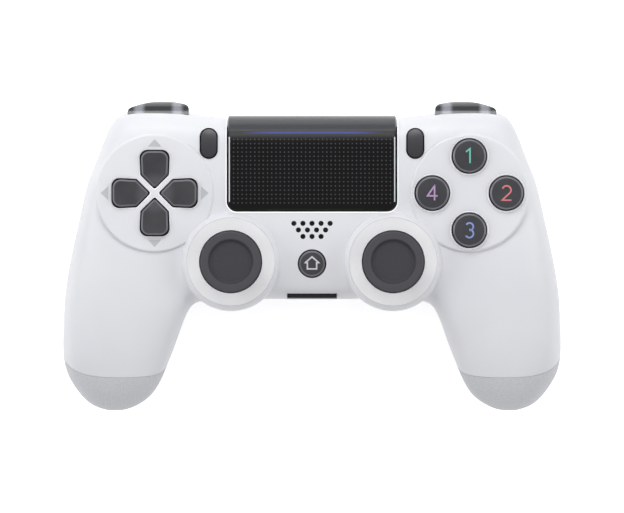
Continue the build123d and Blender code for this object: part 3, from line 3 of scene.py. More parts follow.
import bpy
import numpy as np
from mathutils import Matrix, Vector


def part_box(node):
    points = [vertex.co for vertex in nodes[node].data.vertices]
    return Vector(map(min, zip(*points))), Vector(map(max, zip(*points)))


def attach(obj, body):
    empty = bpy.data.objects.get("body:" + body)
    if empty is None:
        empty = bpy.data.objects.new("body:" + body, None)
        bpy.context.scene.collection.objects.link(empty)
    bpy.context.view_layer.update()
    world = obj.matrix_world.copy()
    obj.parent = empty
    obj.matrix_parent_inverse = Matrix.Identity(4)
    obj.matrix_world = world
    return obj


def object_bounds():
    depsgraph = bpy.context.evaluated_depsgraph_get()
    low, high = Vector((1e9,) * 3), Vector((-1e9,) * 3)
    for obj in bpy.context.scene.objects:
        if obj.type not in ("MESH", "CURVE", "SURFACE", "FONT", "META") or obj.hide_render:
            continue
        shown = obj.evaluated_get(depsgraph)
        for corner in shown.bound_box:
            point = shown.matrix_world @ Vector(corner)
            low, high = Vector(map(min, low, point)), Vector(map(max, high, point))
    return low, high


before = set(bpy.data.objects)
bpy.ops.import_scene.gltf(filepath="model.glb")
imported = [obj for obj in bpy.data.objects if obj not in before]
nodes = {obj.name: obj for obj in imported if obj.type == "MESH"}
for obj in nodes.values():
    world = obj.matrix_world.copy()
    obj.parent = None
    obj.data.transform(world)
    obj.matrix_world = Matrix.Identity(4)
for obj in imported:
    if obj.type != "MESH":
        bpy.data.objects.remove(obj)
cad_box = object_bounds()
scene = bpy.context.scene


# Back shell: the lower half of the pad with the backs of both grips, injection-moulded in ABS.
# Its mould is spark-eroded, so it is greyer than the face, with fine ribs along the grips. Four screws
# hold it to the front shell.
def linear(hex_colour):
    """An sRGB hex colour as linear red, green, blue and alpha."""
    parts = [int(hex_colour[k:k + 2], 16) / 255 for k in (0, 2, 4)]
    return [p / 12.92 if p <= 0.04045 else ((p + 0.055) / 1.055) ** 2.4 for p in parts] + [1.0]


def put(tree, kind, sockets=(), **settings):
    """Adds one shader node. settings are its options; sockets are (name or number, value or output)."""
    node = tree.nodes.new(kind)
    for name, value in settings.items():
        setattr(node, name, value)
    for name, value in sockets:
        if isinstance(value, bpy.types.NodeSocket):
            tree.links.new(value, node.inputs[name])
        else:
            node.inputs[name].default_value = value
    return node


def new_finish(name, sockets):
    """A material of that name, with its tree, its Principled shader and the place of each point on the
    piece. The shader's constant sockets are set directly."""
    material = bpy.data.materials.new(name)
    material.use_nodes = True
    tree = material.node_tree
    shader = next(n for n in tree.nodes if n.type == "BSDF_PRINCIPLED")
    for socket, value in sockets:
        shader.inputs[socket].default_value = value
    place = put(tree, "ShaderNodeTexCoord").outputs["Object"]
    return material, tree, shader, place


def clouded(tree, place, size, detail, dark, light, low=0.0, high=1.0):
    """A colour that wanders between two close tones in clouds of that size in metres."""
    cloud = put(tree, "ShaderNodeTexNoise", (("Vector", place), ("Scale", 1 / size), ("Detail", detail)))
    tint = put(tree, "ShaderNodeValToRGB", (("Fac", cloud.outputs["Fac"]),))
    for stop, position, tone in zip(tint.color_ramp.elements, (low, high), (dark, light)):
        stop.position = position
        stop.color = linear(tone)
    return tint.outputs["Color"]


def dress(material, *names):
    """Gives these CAD nodes that material."""
    for name in names:
        mesh = nodes[name].data
        mesh.materials.clear()
        mesh.materials.append(material)


# Moulded ABS, ribbed: a grey white in specks of half a millimetre, with upright ribs 1.1 mm apart that catch
# the light. A wave texture of scale one has waves_at_scale_one waves in a metre.
rib_pitch, rib_depth = 0.0011, 0.00006
waves_at_scale_one = 20 / (2 * math.pi)
ribbed_abs, tree, shader, place = new_finish(
    "ABS_moulded_ribbed_grey_white",
    (("Roughness", 0.55), ("IOR", 1.52), ("Specular IOR Level", 0.35)),
)
grey_white = clouded(tree, place, 0.0005, 2.0, "CBCCD1", "D5D6DA", 0.35, 0.65)
tree.links.new(grey_white, shader.inputs["Base Color"])
ribs = put(
    tree,
    "ShaderNodeTexWave",
    (("Vector", place), ("Scale", 1 / rib_pitch / waves_at_scale_one), ("Distortion", 0.6), ("Detail", 1.0)),
    bands_direction="X",
)
bump = put(
    tree, "ShaderNodeBump", (("Strength", 0.25), ("Distance", rib_depth), ("Height", ribs.outputs["Fac"]))
)
tree.links.new(bump.outputs["Normal"], shader.inputs["Normal"])
dress(ribbed_abs, "rear_shell")


# Front shell: the face of the pad, the other injection-moulded half, which meets the back one in a seam
# round the grips. It is a fine satin white. The collars round its sticks are painted a brighter white
# against the shade of the caps, and the bevel of each opening carries a painted white highlight.
def grained(tree, shader, place, size, detail, strength, depth):
    """Roughens the face with a grain of that size and depth in metres."""
    grain = put(tree, "ShaderNodeTexNoise", (("Vector", place), ("Scale", 1 / size), ("Detail", detail)))
    relief = (("Strength", strength), ("Distance", depth), ("Height", grain.outputs["Fac"]))
    bump = put(tree, "ShaderNodeBump", relief)
    tree.links.new(bump.outputs["Normal"], shader.inputs["Normal"])


def middle(name):
    """The middle of a CAD node, seen from above."""
    low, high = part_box(name)
    return (low[0] + high[0]) / 2, (low[1] + high[1]) / 2


def all_of(tree, shares):
    """The product of several masks: 1 only where every one is 1."""
    total = shares[0]
    for share in shares[1:]:
        total = put(tree, "ShaderNodeMath", ((0, total), (1, share)), operation="MULTIPLY").outputs[0]
    return total


def any_of(tree, shares):
    """The largest of several masks: 1 where any of them is 1."""
    total = shares[0]
    for share in shares[1:]:
        total = put(tree, "ShaderNodeMath", ((0, total), (1, share)), operation="MAXIMUM").outputs[0]
    return total


def between(tree, value, low, high):
    """1 where a value lies between two limits, otherwise 0."""
    over = put(tree, "ShaderNodeMath", ((0, value), (1, low)), operation="GREATER_THAN")
    under = put(tree, "ShaderNodeMath", ((0, value), (1, high)), operation="LESS_THAN")
    return all_of(tree, [over.outputs[0], under.outputs[0]])


def reach_from(tree, place, centre):
    """Each point's distance from the upright axis through that centre."""
    shift, flatten = (-centre[0], -centre[1], 0.0), (1.0, 1.0, 0.0)
    flat = put(tree, "ShaderNodeMapping", (("Vector", place), ("Location", shift), ("Scale", flatten)))
    reach = put(tree, "ShaderNodeVectorMath", ((0, flat.outputs["Vector"]),), operation="LENGTH")
    return reach.outputs["Value"]


def ring(tree, place, centre, low_r, high_r):
    """1 between two radii about the upright axis through that centre, otherwise 0."""
    return between(tree, reach_from(tree, place, centre), low_r, high_r)


def over_tone(tree, below, share, hex_colour):
    """Lays one tone over another by a mask."""
    tones = (("Factor", share), ("A", below), ("B", linear(hex_colour)))
    return put(tree, "ShaderNodeMix", tones, data_type="RGBA").outputs["Result"]


# Moulded ABS, satin: an even white. Its spark grain of about 0.3 mm, drawn at 0.45 mm to show, softens the
# highlights.
satin_abs, tree, shader, place = new_finish(
    "ABS_moulded_satin_white",
    (("Roughness", 0.42), ("IOR", 1.52), ("Specular IOR Level", 0.45), ("Emission Color", linear("F1F3FB"))),
)
white = clouded(tree, place, 0.0357, 3.0, "E1E2E7", "E7E8EC", 0.3, 0.7)
split = put(tree, "ShaderNodeSeparateXYZ", (("Vector", place),))
normal = put(tree, "ShaderNodeNewGeometry").outputs["Normal"]
facing = put(tree, "ShaderNodeSeparateXYZ", (("Vector", normal),))
across = put(tree, "ShaderNodeMath", ((0, split.outputs["X"]),), operation="ABSOLUTE")

# Painted light: the collars are painted brighter against the shade of the caps, and the bevels round the key
# holes and the slanted ones of the direction pad's openings, which lie in the top of the left raised pad,
# carry painted highlights.
collar_r = 0.0141
key_hole_r, key_bevel_r = 0.0057, 0.0062
pad_r, pad_bevel_z = 0.0180, 0.0398
pad_bevel_low, pad_bevel_high = 0.62, 0.80
face_keys = ("button_top", "button_right", "button_bottom", "button_left")
stick_shafts = ("left_stick_shaft", "right_stick_shaft")
pad_x, pad_y = middle("dpad")
painted_light_collars = any_of(tree, [ring(tree, place, middle(name), 0.0, collar_r) for name in stick_shafts])
bevels = any_of(tree, [ring(tree, place, middle(name), key_hole_r, key_bevel_r) for name in face_keys])
pads = any_of(tree, [ring(tree, place, (side * pad_x, pad_y), 0.0, pad_r) for side in (-1, 1)])
topmost = put(tree, "ShaderNodeMath", ((0, split.outputs["Z"]), (1, pad_bevel_z)), operation="GREATER_THAN")
sloping = between(tree, facing.outputs["Z"], pad_bevel_low, pad_bevel_high)
slant = all_of(tree, [sloping, topmost.outputs[0], pads])

# The touchpad's opening is told by each point's distance past the flat sides of a round-cornered rectangle.
touch_gap, touch_round, touch_line = 0.0004, 0.0033, 0.0003
touch_low, touch_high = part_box("touchpad_cover")
side_flat = touch_high[0] + touch_gap - touch_round
near_flat = touch_low[1] - touch_gap + touch_round
past_side = put(tree, "ShaderNodeMath", ((0, across.outputs[0]), (1, side_flat)), operation="SUBTRACT")
past_side = put(tree, "ShaderNodeMath", ((0, past_side.outputs[0]), (1, 0.0)), operation="MAXIMUM")
past_near = put(tree, "ShaderNodeMath", ((0, near_flat), (1, split.outputs["Y"])), operation="SUBTRACT")
past_near = put(tree, "ShaderNodeMath", ((0, past_near.outputs[0]), (1, 0.0)), operation="MAXIMUM")
past = put(tree, "ShaderNodeCombineXYZ", (("X", past_side.outputs[0]), ("Y", past_near.outputs[0])))
past = put(tree, "ShaderNodeVectorMath", ((0, past.outputs["Vector"]),), operation="LENGTH")
line_r = touch_round + touch_line
touch_frame = put(tree, "ShaderNodeMath", ((0, past.outputs["Value"]), (1, line_r)), operation="LESS_THAN")

# The straight walls of the openings are drawn in the tone of the deep shade beside a key.
wall_slope, wall_low_z = 0.2, 0.0335
hole_radii = {
    "left_stick_shaft": 0.0102,
    "right_stick_shaft": 0.0102,
    "left_function_button": 0.0065,
    "right_function_button": 0.0065,
    "home_button": 0.0055,
}
holes = [ring(tree, place, middle(name), 0.0, radius) for name, radius in hole_radii.items()]
openings = any_of(tree, [pads, touch_frame.outputs[0]] + holes)
steep = between(tree, facing.outputs["Z"], -wall_slope, wall_slope)
high = put(tree, "ShaderNodeMath", ((0, split.outputs["Z"]), (1, wall_low_z)), operation="GREATER_THAN")
walls = all_of(tree, [steep, high.outputs[0], openings])
# Painted highlights: pure white on the key bevels, on the direction pad's slanted bevels and in a fine line
# round the touchpad's opening.
painted_highlight_edges = any_of(tree, [bevels, slant, touch_frame.outputs[0]])
# Painted light: the collars are painted a brighter white against the shade of the caps above them.
tone = over_tone(tree, white, painted_light_collars, "FBFBFC")
tone = over_tone(tree, tone, painted_highlight_edges, "FFFFFF")
tone = over_tone(tree, tone, walls, "2A2A2C")
tree.links.new(tone, shader.inputs["Base Color"])

# A faint painted glow lifts the collars and bevels further: painted light against the caps' shade and on the
# painted highlights.
collar_painted_glow, bevel_painted_glow = 0.16, 0.3
soft = put(tree, "ShaderNodeMath", ((0, painted_light_collars), (1, collar_painted_glow)), operation="MULTIPLY")
painted_glow = put(
    tree, "ShaderNodeMath", ((0, painted_highlight_edges), (1, bevel_painted_glow), (2, soft.outputs[0])), operation="MULTIPLY_ADD"
)
off_walls = put(tree, "ShaderNodeMath", ((0, 1.0), (1, walls)), operation="SUBTRACT")
lit = all_of(tree, [painted_glow.outputs[0], off_walls.outputs[0]])
tree.links.new(lit, shader.inputs["Emission Strength"])
grained(tree, shader, place, size=0.00045, detail=2.0, strength=0.06, depth=0.00004)
dress(satin_abs, "front_shell")


# Direction pad: one grey ABS moulding with four dished lobes, which rocks on a silicone sheet.
# The face keys and the home key come from the same plastic and the same kind of polished mould.
bevel_highlight_low, bevel_highlight_high, steep_below = 0.35, 0.86, 0.3
tip_near, tip_far, tip_highlight_share = 0.0045, 0.0068, 0.55
# Moulded ABS, key grey: a soft gloss that a 0.3 mm grain breaks a little. A painted pale highlight lies on
# the bevel round each key and on the direction pad's inner tips, and the steep sides are painted dark as
# shade.
key_abs, tree, shader, place = new_finish(
    "ABS_moulded_key_grey",
    (
        ("Roughness", 0.3),
        ("IOR", 1.52),
        ("Specular IOR Level", 0.5),
        ("Coat Weight", 0.15),
        ("Coat Roughness", 0.2),
    ),
)
grey = clouded(tree, place, 0.00714, 3.0, "3C3C40", "454549", 0.3, 0.7)
normal = put(tree, "ShaderNodeNewGeometry").outputs["Normal"]
facing = put(tree, "ShaderNodeSeparateXYZ", (("Vector", normal),))
bevel_highlight = between(tree, facing.outputs["Z"], bevel_highlight_low, bevel_highlight_high)
steep = put(tree, "ShaderNodeMath", ((0, facing.outputs["Z"]), (1, steep_below)), operation="LESS_THAN")
reach = reach_from(tree, place, (pad_x, pad_y))
tip_highlight = put(
    tree,
    "ShaderNodeMapRange",
    (
        ("Value", reach),
        ("From Min", tip_near),
        ("From Max", tip_far),
        ("To Min", tip_highlight_share),
        ("To Max", 0.0),
    ),
)
# Painted light: pale highlights on the inner tips and the bevels, and dark painted shade on the steep sides.
tone = over_tone(tree, grey, tip_highlight.outputs["Result"], "5E5E64")
tone = over_tone(tree, tone, bevel_highlight, "707078")
tone = over_tone(tree, tone, steep.outputs[0], "121213")
tree.links.new(tone, shader.inputs["Base Color"])
grained(tree, shader, place, size=0.0003, detail=2.0, strength=0.05, depth=0.00003)
dress(key_abs, "dpad", "home_button", *face_keys)


# Arrow marks: four light-grey triangles pad-printed on the shell round the direction pad.
# Each is a film of ink 0.03 mm thick and 4.5 mm wide that points away from the pad.
def new_piece(name, points, faces):
    """An object at the origin whose mesh has these points and faces."""
    mesh = bpy.data.meshes.new(name)
    mesh.from_pydata(points.tolist(), [], faces)
    piece = bpy.data.objects.new(name, mesh)
    scene.collection.objects.link(piece)
    return piece


def inlay(name, outline, base_z, thickness):
    """A thin closed plate: its outline at one height and again one thickness above, and a wall between."""
    count = len(outline)
    low = np.column_stack([outline, np.full(count, base_z)])
    here = np.arange(count)
    after = np.roll(here, -1)
    sides = np.column_stack([here, after, after + count, here + count])
    faces = [here[::-1].tolist(), (here + count).tolist()] + sides.tolist()
    return new_piece(name, np.vstack([low, low + [0.0, 0.0, thickness]]), faces)


mark_near, mark_far, mark_half = 0.0150, 0.0175, 0.00225
ink_depth, ink_sunk = 0.00003, 0.00001
pad_face_z = 0.0405
# Pad-print ink, grey: an even matt film whose tone wanders a little where the pad pressed it.
printed_grey, tree, shader, place = new_finish(
    "Pad_print_ink_light_grey", (("Roughness", 0.5), ("IOR", 1.5))
)
tree.links.new(clouded(tree, place, 0.00111, 2.0, "BDBEC2", "C6C7CB"), shader.inputs["Base Color"])
for turn, side_name in enumerate(("up", "left", "down", "right")):
    c, s = math.cos(turn * math.pi / 2), math.sin(turn * math.pi / 2)
    corners = [(-mark_half, mark_near), (mark_half, mark_near), (0.0, mark_far)]
    outline = [(pad_x + c * x - s * y, pad_y + s * x + c * y) for x, y in corners]
    mark = inlay(f"arrow_mark_{side_name}", outline, pad_face_z - ink_sunk, ink_depth)
    mark.data.materials.append(printed_grey)
    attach(mark, "shell")


# Face keys: four round grey ABS keys with a softly crowned top.
# Each carries a thin numeral in its own colour, moulded through the key as a second shot of plastic.
def resampled(points, step, closed):
    """The same path with a point every step along each of its runs, so that it can follow a crown."""
    ends = np.vstack([points, points[:1]]) if closed else points
    runs = []
    for a, b in zip(ends[:-1], ends[1:]):
        count = max(1, int(math.ceil(np.linalg.norm(b - a) / step)))
        runs.append(a + (b - a) * (np.arange(count) / count)[:, None])
    return np.vstack(runs if closed else runs + [ends[-1:]])


def stroke(name, path, width, thickness, height, closed=False):
    """A flat bar carried along a path on a crowned top: at each point its four corners are half the
    width to each side along the path's normal, at the top's height and one thickness under it."""
    step_share, mitre_limit = 0.6, 0.5
    points = resampled(path, width * step_share, closed)
    if closed:
        ahead, behind = np.roll(points, -1, axis=0), np.roll(points, 1, axis=0)
    else:
        ahead = np.vstack([points[1:], points[-1:] * 2 - points[-2:-1]])
        behind = np.vstack([points[:1] * 2 - points[1:2], points[:-1]])
    along, back = ahead - points, points - behind
    along /= np.linalg.norm(along, axis=1)[:, None]
    back /= np.linalg.norm(back, axis=1)[:, None]
    mean = along + back
    mean /= np.linalg.norm(mean, axis=1)[:, None]
    normal = np.column_stack([-mean[:, 1], mean[:, 0]])
    spread = width / 2 / np.clip((mean * along).sum(axis=1), mitre_limit, 1.0)
    left, right = points + normal * spread[:, None], points - normal * spread[:, None]
    z_left, z_right = height(left[:, 0], left[:, 1]), height(right[:, 0], right[:, 1])
    corners = np.stack([
        np.column_stack([left, z_left]),
        np.column_stack([right, z_right]),
        np.column_stack([right, z_right - thickness]),
        np.column_stack([left, z_left - thickness]),
    ], axis=1).reshape(-1, 3)
    count = len(points)
    here = np.arange(count if closed else count - 1)
    after = (here + 1) % count
    faces = np.vstack([
        np.column_stack([here * 4 + (k + 1) % 4, here * 4 + k, after * 4 + k, after * 4 + (k + 1) % 4])
        for k in range(4)
    ]).tolist()
    if not closed:
        faces += [[0, 1, 2, 3], [count * 4 - 1, count * 4 - 2, count * 4 - 3, count * 4 - 4]]
    return new_piece(name, corners, faces)


def arc(cx, cy, radius, start, end, steps):
    """Points on a circle about cx, cy from one angle to another, in degrees."""
    turn = np.radians(np.linspace(start, end, steps))
    return np.column_stack([cx + radius * np.cos(turn), cy + radius * np.sin(turn)])


def crowned_top(name, radius, crown, rise):
    """Height of a figure on a key: one rise over the key's highest point, less the crown times the square
    of the distance from the key's axis over the square of the top's radius."""
    x0, y0 = middle(name)
    top_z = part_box(name)[1][2] + rise
    return lambda x, y: top_z - crown * ((x - x0) ** 2 + (y - y0) ** 2) / radius ** 2


mm = 0.001
key_top_r, key_crown = 0.0048, 0.00035
figure_width, figure_depth, figure_rise = 0.00052, 0.0002, 0.00005
# Each numeral's path, in millimetres from the middle of its key.
numerals = {
    "one": np.array([(-1.15, 1.3), (0.15, 2.35), (0.15, -2.35)]),
    "two": np.vstack([arc(0.0, 0.95, 1.4, 160, -32, 22), [(-1.5, -2.3), (1.55, -2.3)]]),
    "three": np.vstack([arc(0.0, 1.15, 1.2, 150, -80, 22), arc(-0.05, -1.1, 1.3, 80, -150, 24)]),
    "four": np.array([(0.7, -2.35), (0.7, 2.35), (-1.6, -0.9), (1.7, -0.9)]),
}
key_colours = (("teal", "6EBDAF", "74C6B8"), ("salmon", "CF7B7D", "D98183"),
               ("periwinkle", "8598CC", "8C9FD6"), ("lilac", "B093BD", "B99AC6"))
for key, (figure, path), (colour_name, dark, light) in zip(face_keys, numerals.items(), key_colours):
    # Second-shot ABS in a soft colour: it stands 0.05 mm over the key, so its edge shows as a fine line.
    second_shot, tree, shader, place = new_finish(
        f"ABS_second_shot_{colour_name}", (("Roughness", 0.35), ("IOR", 1.52))
    )
    tree.links.new(clouded(tree, place, 0.00143, 2.0, dark, light), shader.inputs["Base Color"])
    key_top = crowned_top(key, key_top_r, key_crown, figure_rise)
    numeral = stroke(f"numeral_{figure}", path * mm + middle(key), figure_width, figure_depth, key_top)
    numeral.data.materials.append(second_shot)
    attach(numeral, key)


# Home key: a small round grey key between the sticks, moulded like the face keys.
# Its plain house sign is pad-printed in pale grey.
home_top_r, home_crown, house_width = 0.00365, 0.00035, 0.00048
house = np.array([(-1.5, -1.7), (1.5, -1.7), (1.5, 0.3), (2.2, 0.3), (0.0, 2.2), (-2.2, 0.3), (-1.5, 0.3)])
# Pad-print ink, pale: matt, so the sign stays light from every side.
pale_ink, tree, shader, place = new_finish("Pad_print_ink_pale_grey", (("Roughness", 0.45), ("IOR", 1.5)))
tree.links.new(clouded(tree, place, 0.00111, 2.0, "C9CACD", "DADBDE"), shader.inputs["Base Color"])
home_top = crowned_top("home_button", home_top_r, home_crown, figure_rise)
house_path = house * mm + middle("home_button")
house_sign = stroke("house_sign", house_path, house_width, figure_depth, home_top, closed=True)
house_sign.data.materials.append(pale_ink)
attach(house_sign, "home_button")


# Function keys: two upright slim keys beside the touchpad, moulded in grey ABS.
# They stand through the shell on a silicone sheet and follow its curve down towards the back edge.
crown_start_y, crown_end_y = 0.0315, 0.0412
# Moulded ABS, soft satin, painted lighter towards the back: a painted highlight where the crown turns up to
# the light.
function_abs, tree, shader, place = new_finish(
    "ABS_moulded_function_key_grey",
    (("Roughness", 0.34), ("IOR", 1.52), ("Specular IOR Level", 0.5)),
)
split = put(tree, "ShaderNodeSeparateXYZ", (("Vector", place),))
highlight_fade = put(
    tree,
    "ShaderNodeMapRange",
    (("Value", split.outputs["Y"]), ("From Min", crown_start_y), ("From Max", crown_end_y)),
)
tint = put(tree, "ShaderNodeValToRGB", (("Fac", highlight_fade.outputs["Result"]),))
tint.color_ramp.elements[0].color = linear("333338")
tint.color_ramp.elements[1].color = linear("45454A")
tree.links.new(tint.outputs["Color"], shader.inputs["Base Color"])
grained(tree, shader, place, size=0.0003, detail=2.0, strength=0.05, depth=0.00003)
dress(function_abs, "left_function_button", "right_function_button")


# Touchpad: a black polycarbonate plate that clicks down and rolls over the back edge.
# Its flat is printed with a grid of fine dots 1.37 mm apart. The rolled band is plain and glossier and
# painted a lighter grey that stands for its sheen, and a slit of clear plastic across it passes the blue
# light from the bar behind.
dot_pitch, dot_share = 0.00137, 0.17
grid_low_y, grid_high_y, grid_half_x = 0.0160, 0.0388, 0.0258
band_y, band_blend = 0.0405, 0.0002
flat_roughness, band_roughness = 0.36, 0.22
dot_relief, dot_rise = 0.3, 0.00005
slit_y, slit_half_y, slit_half_x, slit_fade_x, slit_glow = 0.0399, 0.00036, 0.0245, 0.012, 0.32
line_low_x, line_high_x, line_low_y, line_high_y = 0.02655, 0.02690, 0.0175, 0.0385
# Polycarbonate, moulded black and printed: deep black with grey dots that stand up a little.
touch_black, tree, shader, place = new_finish(
    "Polycarbonate_black_printed_dots",
    (("IOR", 1.585), ("Specular IOR Level", 0.25), ("Emission Color", linear("3F60F4"))),
)
split = put(tree, "ShaderNodeSeparateXYZ", (("Vector", place),))
across = put(tree, "ShaderNodeMath", ((0, split.outputs["X"]),), operation="ABSOLUTE")
cells = put(tree, "ShaderNodeMapping", (("Vector", place), ("Scale", (1 / dot_pitch, 1 / dot_pitch, 0.0))))
inside = put(tree, "ShaderNodeVectorMath", ((0, cells.outputs["Vector"]),), operation="FRACTION")
reach = put(
    tree, "ShaderNodeVectorMath", ((0, inside.outputs["Vector"]), (1, (0.5, 0.5, 0.0))), operation="DISTANCE"
)
dot = put(tree, "ShaderNodeMath", ((0, reach.outputs["Value"]), (1, dot_share)), operation="LESS_THAN")
dots = all_of(tree, [
    between(tree, split.outputs["X"], -grid_half_x, grid_half_x),
    between(tree, split.outputs["Y"], grid_low_y, grid_high_y),
    dot.outputs[0],
])
band = put(
    tree,
    "ShaderNodeMapRange",
    (("Value", split.outputs["Y"]), ("From Min", band_y - band_blend), ("From Max", band_y + band_blend)),
)
# The rolled band's lighter grey is a painted sheen.
ground = put(
    tree,
    "ShaderNodeMix",
    (("Factor", band.outputs["Result"]), ("A", linear("09090A")), ("B", linear("46474B"))),
    data_type="RGBA",
)
# Painted highlights on the side bevels: a fine pale line near each edge of the flat.
painted_side_highlight = all_of(tree, [
    between(tree, across.outputs[0], line_low_x, line_high_x),
    between(tree, split.outputs["Y"], line_low_y, line_high_y),
])
tone = over_tone(tree, ground.outputs["Result"], dots, "4A4A4E")
tree.links.new(over_tone(tree, tone, painted_side_highlight, "D5D6DC"), shader.inputs["Base Color"])
sheen = put(
    tree,
    "ShaderNodeMapRange",
    (("Value", band.outputs["Result"]), ("To Min", flat_roughness), ("To Max", band_roughness)),
)
tree.links.new(sheen.outputs["Result"], shader.inputs["Roughness"])
dot_bump = put(tree, "ShaderNodeBump", (("Strength", dot_relief), ("Distance", dot_rise), ("Height", dots)))
tree.links.new(dot_bump.outputs["Normal"], shader.inputs["Normal"])
slit = between(tree, split.outputs["Y"], slit_y - slit_half_y, slit_y + slit_half_y)
ends = put(
    tree,
    "ShaderNodeMapRange",
    (
        ("Value", across.outputs[0]),
        ("From Min", slit_fade_x),
        ("From Max", slit_half_x),
        ("To Min", slit_glow),
        ("To Max", 0.0),
    ),
    interpolation_type="SMOOTHSTEP",
)
tree.links.new(all_of(tree, [slit, ends.outputs["Result"]]), shader.inputs["Emission Strength"])
dress(touch_black, "touchpad_cover")


# Light guide: a moulded bar of frosted polycarbonate in the window under the touchpad's edge.
# It scatters the blue light of three diodes, so it glows strongest near its middle.
glow_half_x, glow_middle, glow_end = 0.025, 0.55, 0.15
# Moulded polycarbonate, frosted: light spreads inside it, so it glows evenly and hides the diodes.
frosted, tree, shader, place = new_finish(
    "Polycarbonate_frosted_blue",
    (("Roughness", 0.55), ("IOR", 1.585), ("Subsurface Weight", 0.2), ("Emission Color", linear("4A74F2"))),
)
split = put(tree, "ShaderNodeSeparateXYZ", (("Vector", place),))
across = put(tree, "ShaderNodeMath", ((0, split.outputs["X"]),), operation="ABSOLUTE")
glow = put(
    tree,
    "ShaderNodeMapRange",
    (("Value", across.outputs[0]), ("From Max", glow_half_x), ("To Min", glow_middle), ("To Max", glow_end)),
)
tree.links.new(glow.outputs["Result"], shader.inputs["Emission Strength"])
tree.links.new(clouded(tree, place, 0.0006, 2.0, "6F86C8", "8699D4"), shader.inputs["Base Color"])
dress(frosted, "light_guide")


# Stick caps: soft rubber moulded over the stem, matt, with a fine leather-like grain in the bowl.
# The rim is smoother and a little paler than the bowl, and its outer edge is painted dark as shade where it
# turns down.
bowl_end_r, rim_start_r = 0.0072, 0.0076
edge_start_r, edge_end_r = 0.0096, 0.0099
pebble_size, pebble_depth = 0.0007, 0.00012
bowl_roughness, rim_roughness = 0.62, 0.5
bowl_relief, rim_relief = 0.55, 0.12
for side in ("left", "right"):
    cap = f"{side}_stick_cap"
    # Moulded rubber: dull in the bowl, where it is pebbled 0.7 mm apart, and a little brighter on the rim.
    rubber, tree, shader, place = new_finish(
        f"Rubber_moulded_stick_{side}", (("IOR", 1.5), ("Specular IOR Level", 0.35))
    )
    radius = reach_from(tree, place, middle(cap))
    rim = put(
        tree, "ShaderNodeMapRange", (("Value", radius), ("From Min", bowl_end_r), ("From Max", rim_start_r))
    )
    painted_shade_edge = put(
        tree, "ShaderNodeMapRange", (("Value", radius), ("From Min", edge_start_r), ("From Max", edge_end_r))
    )
    ground = put(
        tree,
        "ShaderNodeMix",
        (("Factor", rim.outputs["Result"]), ("A", linear("3D3C41")), ("B", linear("4A494F"))),
        data_type="RGBA",
    )
    # Painted shade: the outer edge of the cap is painted near black.
    tone = over_tone(tree, ground.outputs["Result"], painted_shade_edge.outputs["Result"], "0E0E10")
    tree.links.new(tone, shader.inputs["Base Color"])
    rough = put(
        tree,
        "ShaderNodeMapRange",
        (("Value", rim.outputs["Result"]), ("To Min", bowl_roughness), ("To Max", rim_roughness)),
    )
    tree.links.new(rough.outputs["Result"], shader.inputs["Roughness"])
    pebble = put(tree, "ShaderNodeTexVoronoi", (("Vector", place), ("Scale", 1 / pebble_size)))
    strength = put(
        tree,
        "ShaderNodeMapRange",
        (("Value", rim.outputs["Result"]), ("To Min", bowl_relief), ("To Max", rim_relief)),
    )
    bump = put(
        tree,
        "ShaderNodeBump",
        (
            ("Strength", strength.outputs["Result"]),
            ("Distance", pebble_depth),
            ("Height", pebble.outputs["Distance"]),
        ),
    )
    tree.links.new(bump.outputs["Normal"], shader.inputs["Normal"])
    dress(rubber, cap)


# Stick stems: moulded acetal, with a smooth dome that closes the collar's hole in every position.
# Black acetal is slightly waxy, so the dome keeps a soft highlight.
acetal, tree, shader, place = new_finish("Acetal_moulded_black", (("Roughness", 0.32), ("IOR", 1.48)))
tree.links.new(clouded(tree, place, 0.00385, 2.0, "232326", "2C2C2F"), shader.inputs["Base Color"])
dress(acetal, *stick_shafts)


# Bumpers and triggers: dark grey ABS from a polished mould. The bumpers are clipped into the shoulder
# frames on upright pins, and the triggers hang under them on level pins.
bar_offset, bar_core, bar_soft, bar_low_z = 0.0062, 0.0006, 0.0024, 0.0263
# Moulded ABS, gloss: a clear sharp highlight that a faint waviness of the face breaks.
gloss_abs, tree, shader, place = new_finish(
    "ABS_moulded_gloss_dark_grey",
    (
        ("Roughness", 0.2),
        ("IOR", 1.52),
        ("Specular IOR Level", 0.55),
        ("Coat Weight", 0.4),
        ("Coat Roughness", 0.08),
    ),
)
dark_grey = clouded(tree, place, 0.0111, 3.0, "27282B", "2E2F32")
# Painted reflection: the bumpers' ends, where the face turns back, show a soft pale bar on each side of the
# middle.
split = put(tree, "ShaderNodeSeparateXYZ", (("Vector", place),))
across = put(tree, "ShaderNodeMath", ((0, split.outputs["X"]),), operation="ABSOLUTE")
from_middle = put(
    tree, "ShaderNodeMath", ((0, across.outputs[0]), (1, middle("right_bumper")[0])), operation="SUBTRACT"
)
from_middle = put(tree, "ShaderNodeMath", ((0, from_middle.outputs[0]),), operation="ABSOLUTE")
from_bar = put(tree, "ShaderNodeMath", ((0, from_middle.outputs[0]), (1, bar_offset)), operation="SUBTRACT")
from_bar = put(tree, "ShaderNodeMath", ((0, from_bar.outputs[0]),), operation="ABSOLUTE")
bar = put(
    tree,
    "ShaderNodeMapRange",
    (
        ("Value", from_bar.outputs[0]),
        ("From Min", bar_core),
        ("From Max", bar_soft),
        ("To Min", 1.0),
        ("To Max", 0.0),
    ),
    interpolation_type="SMOOTHSTEP",
)
on_bumper = put(tree, "ShaderNodeMath", ((0, split.outputs["Z"]), (1, bar_low_z)), operation="GREATER_THAN")
painted_reflection_bars = all_of(tree, [bar.outputs["Result"], on_bumper.outputs[0]])
tree.links.new(over_tone(tree, dark_grey, painted_reflection_bars, "8E8F98"), shader.inputs["Base Color"])
grained(tree, shader, place, size=0.0006, detail=1.0, strength=0.02, depth=0.00004)
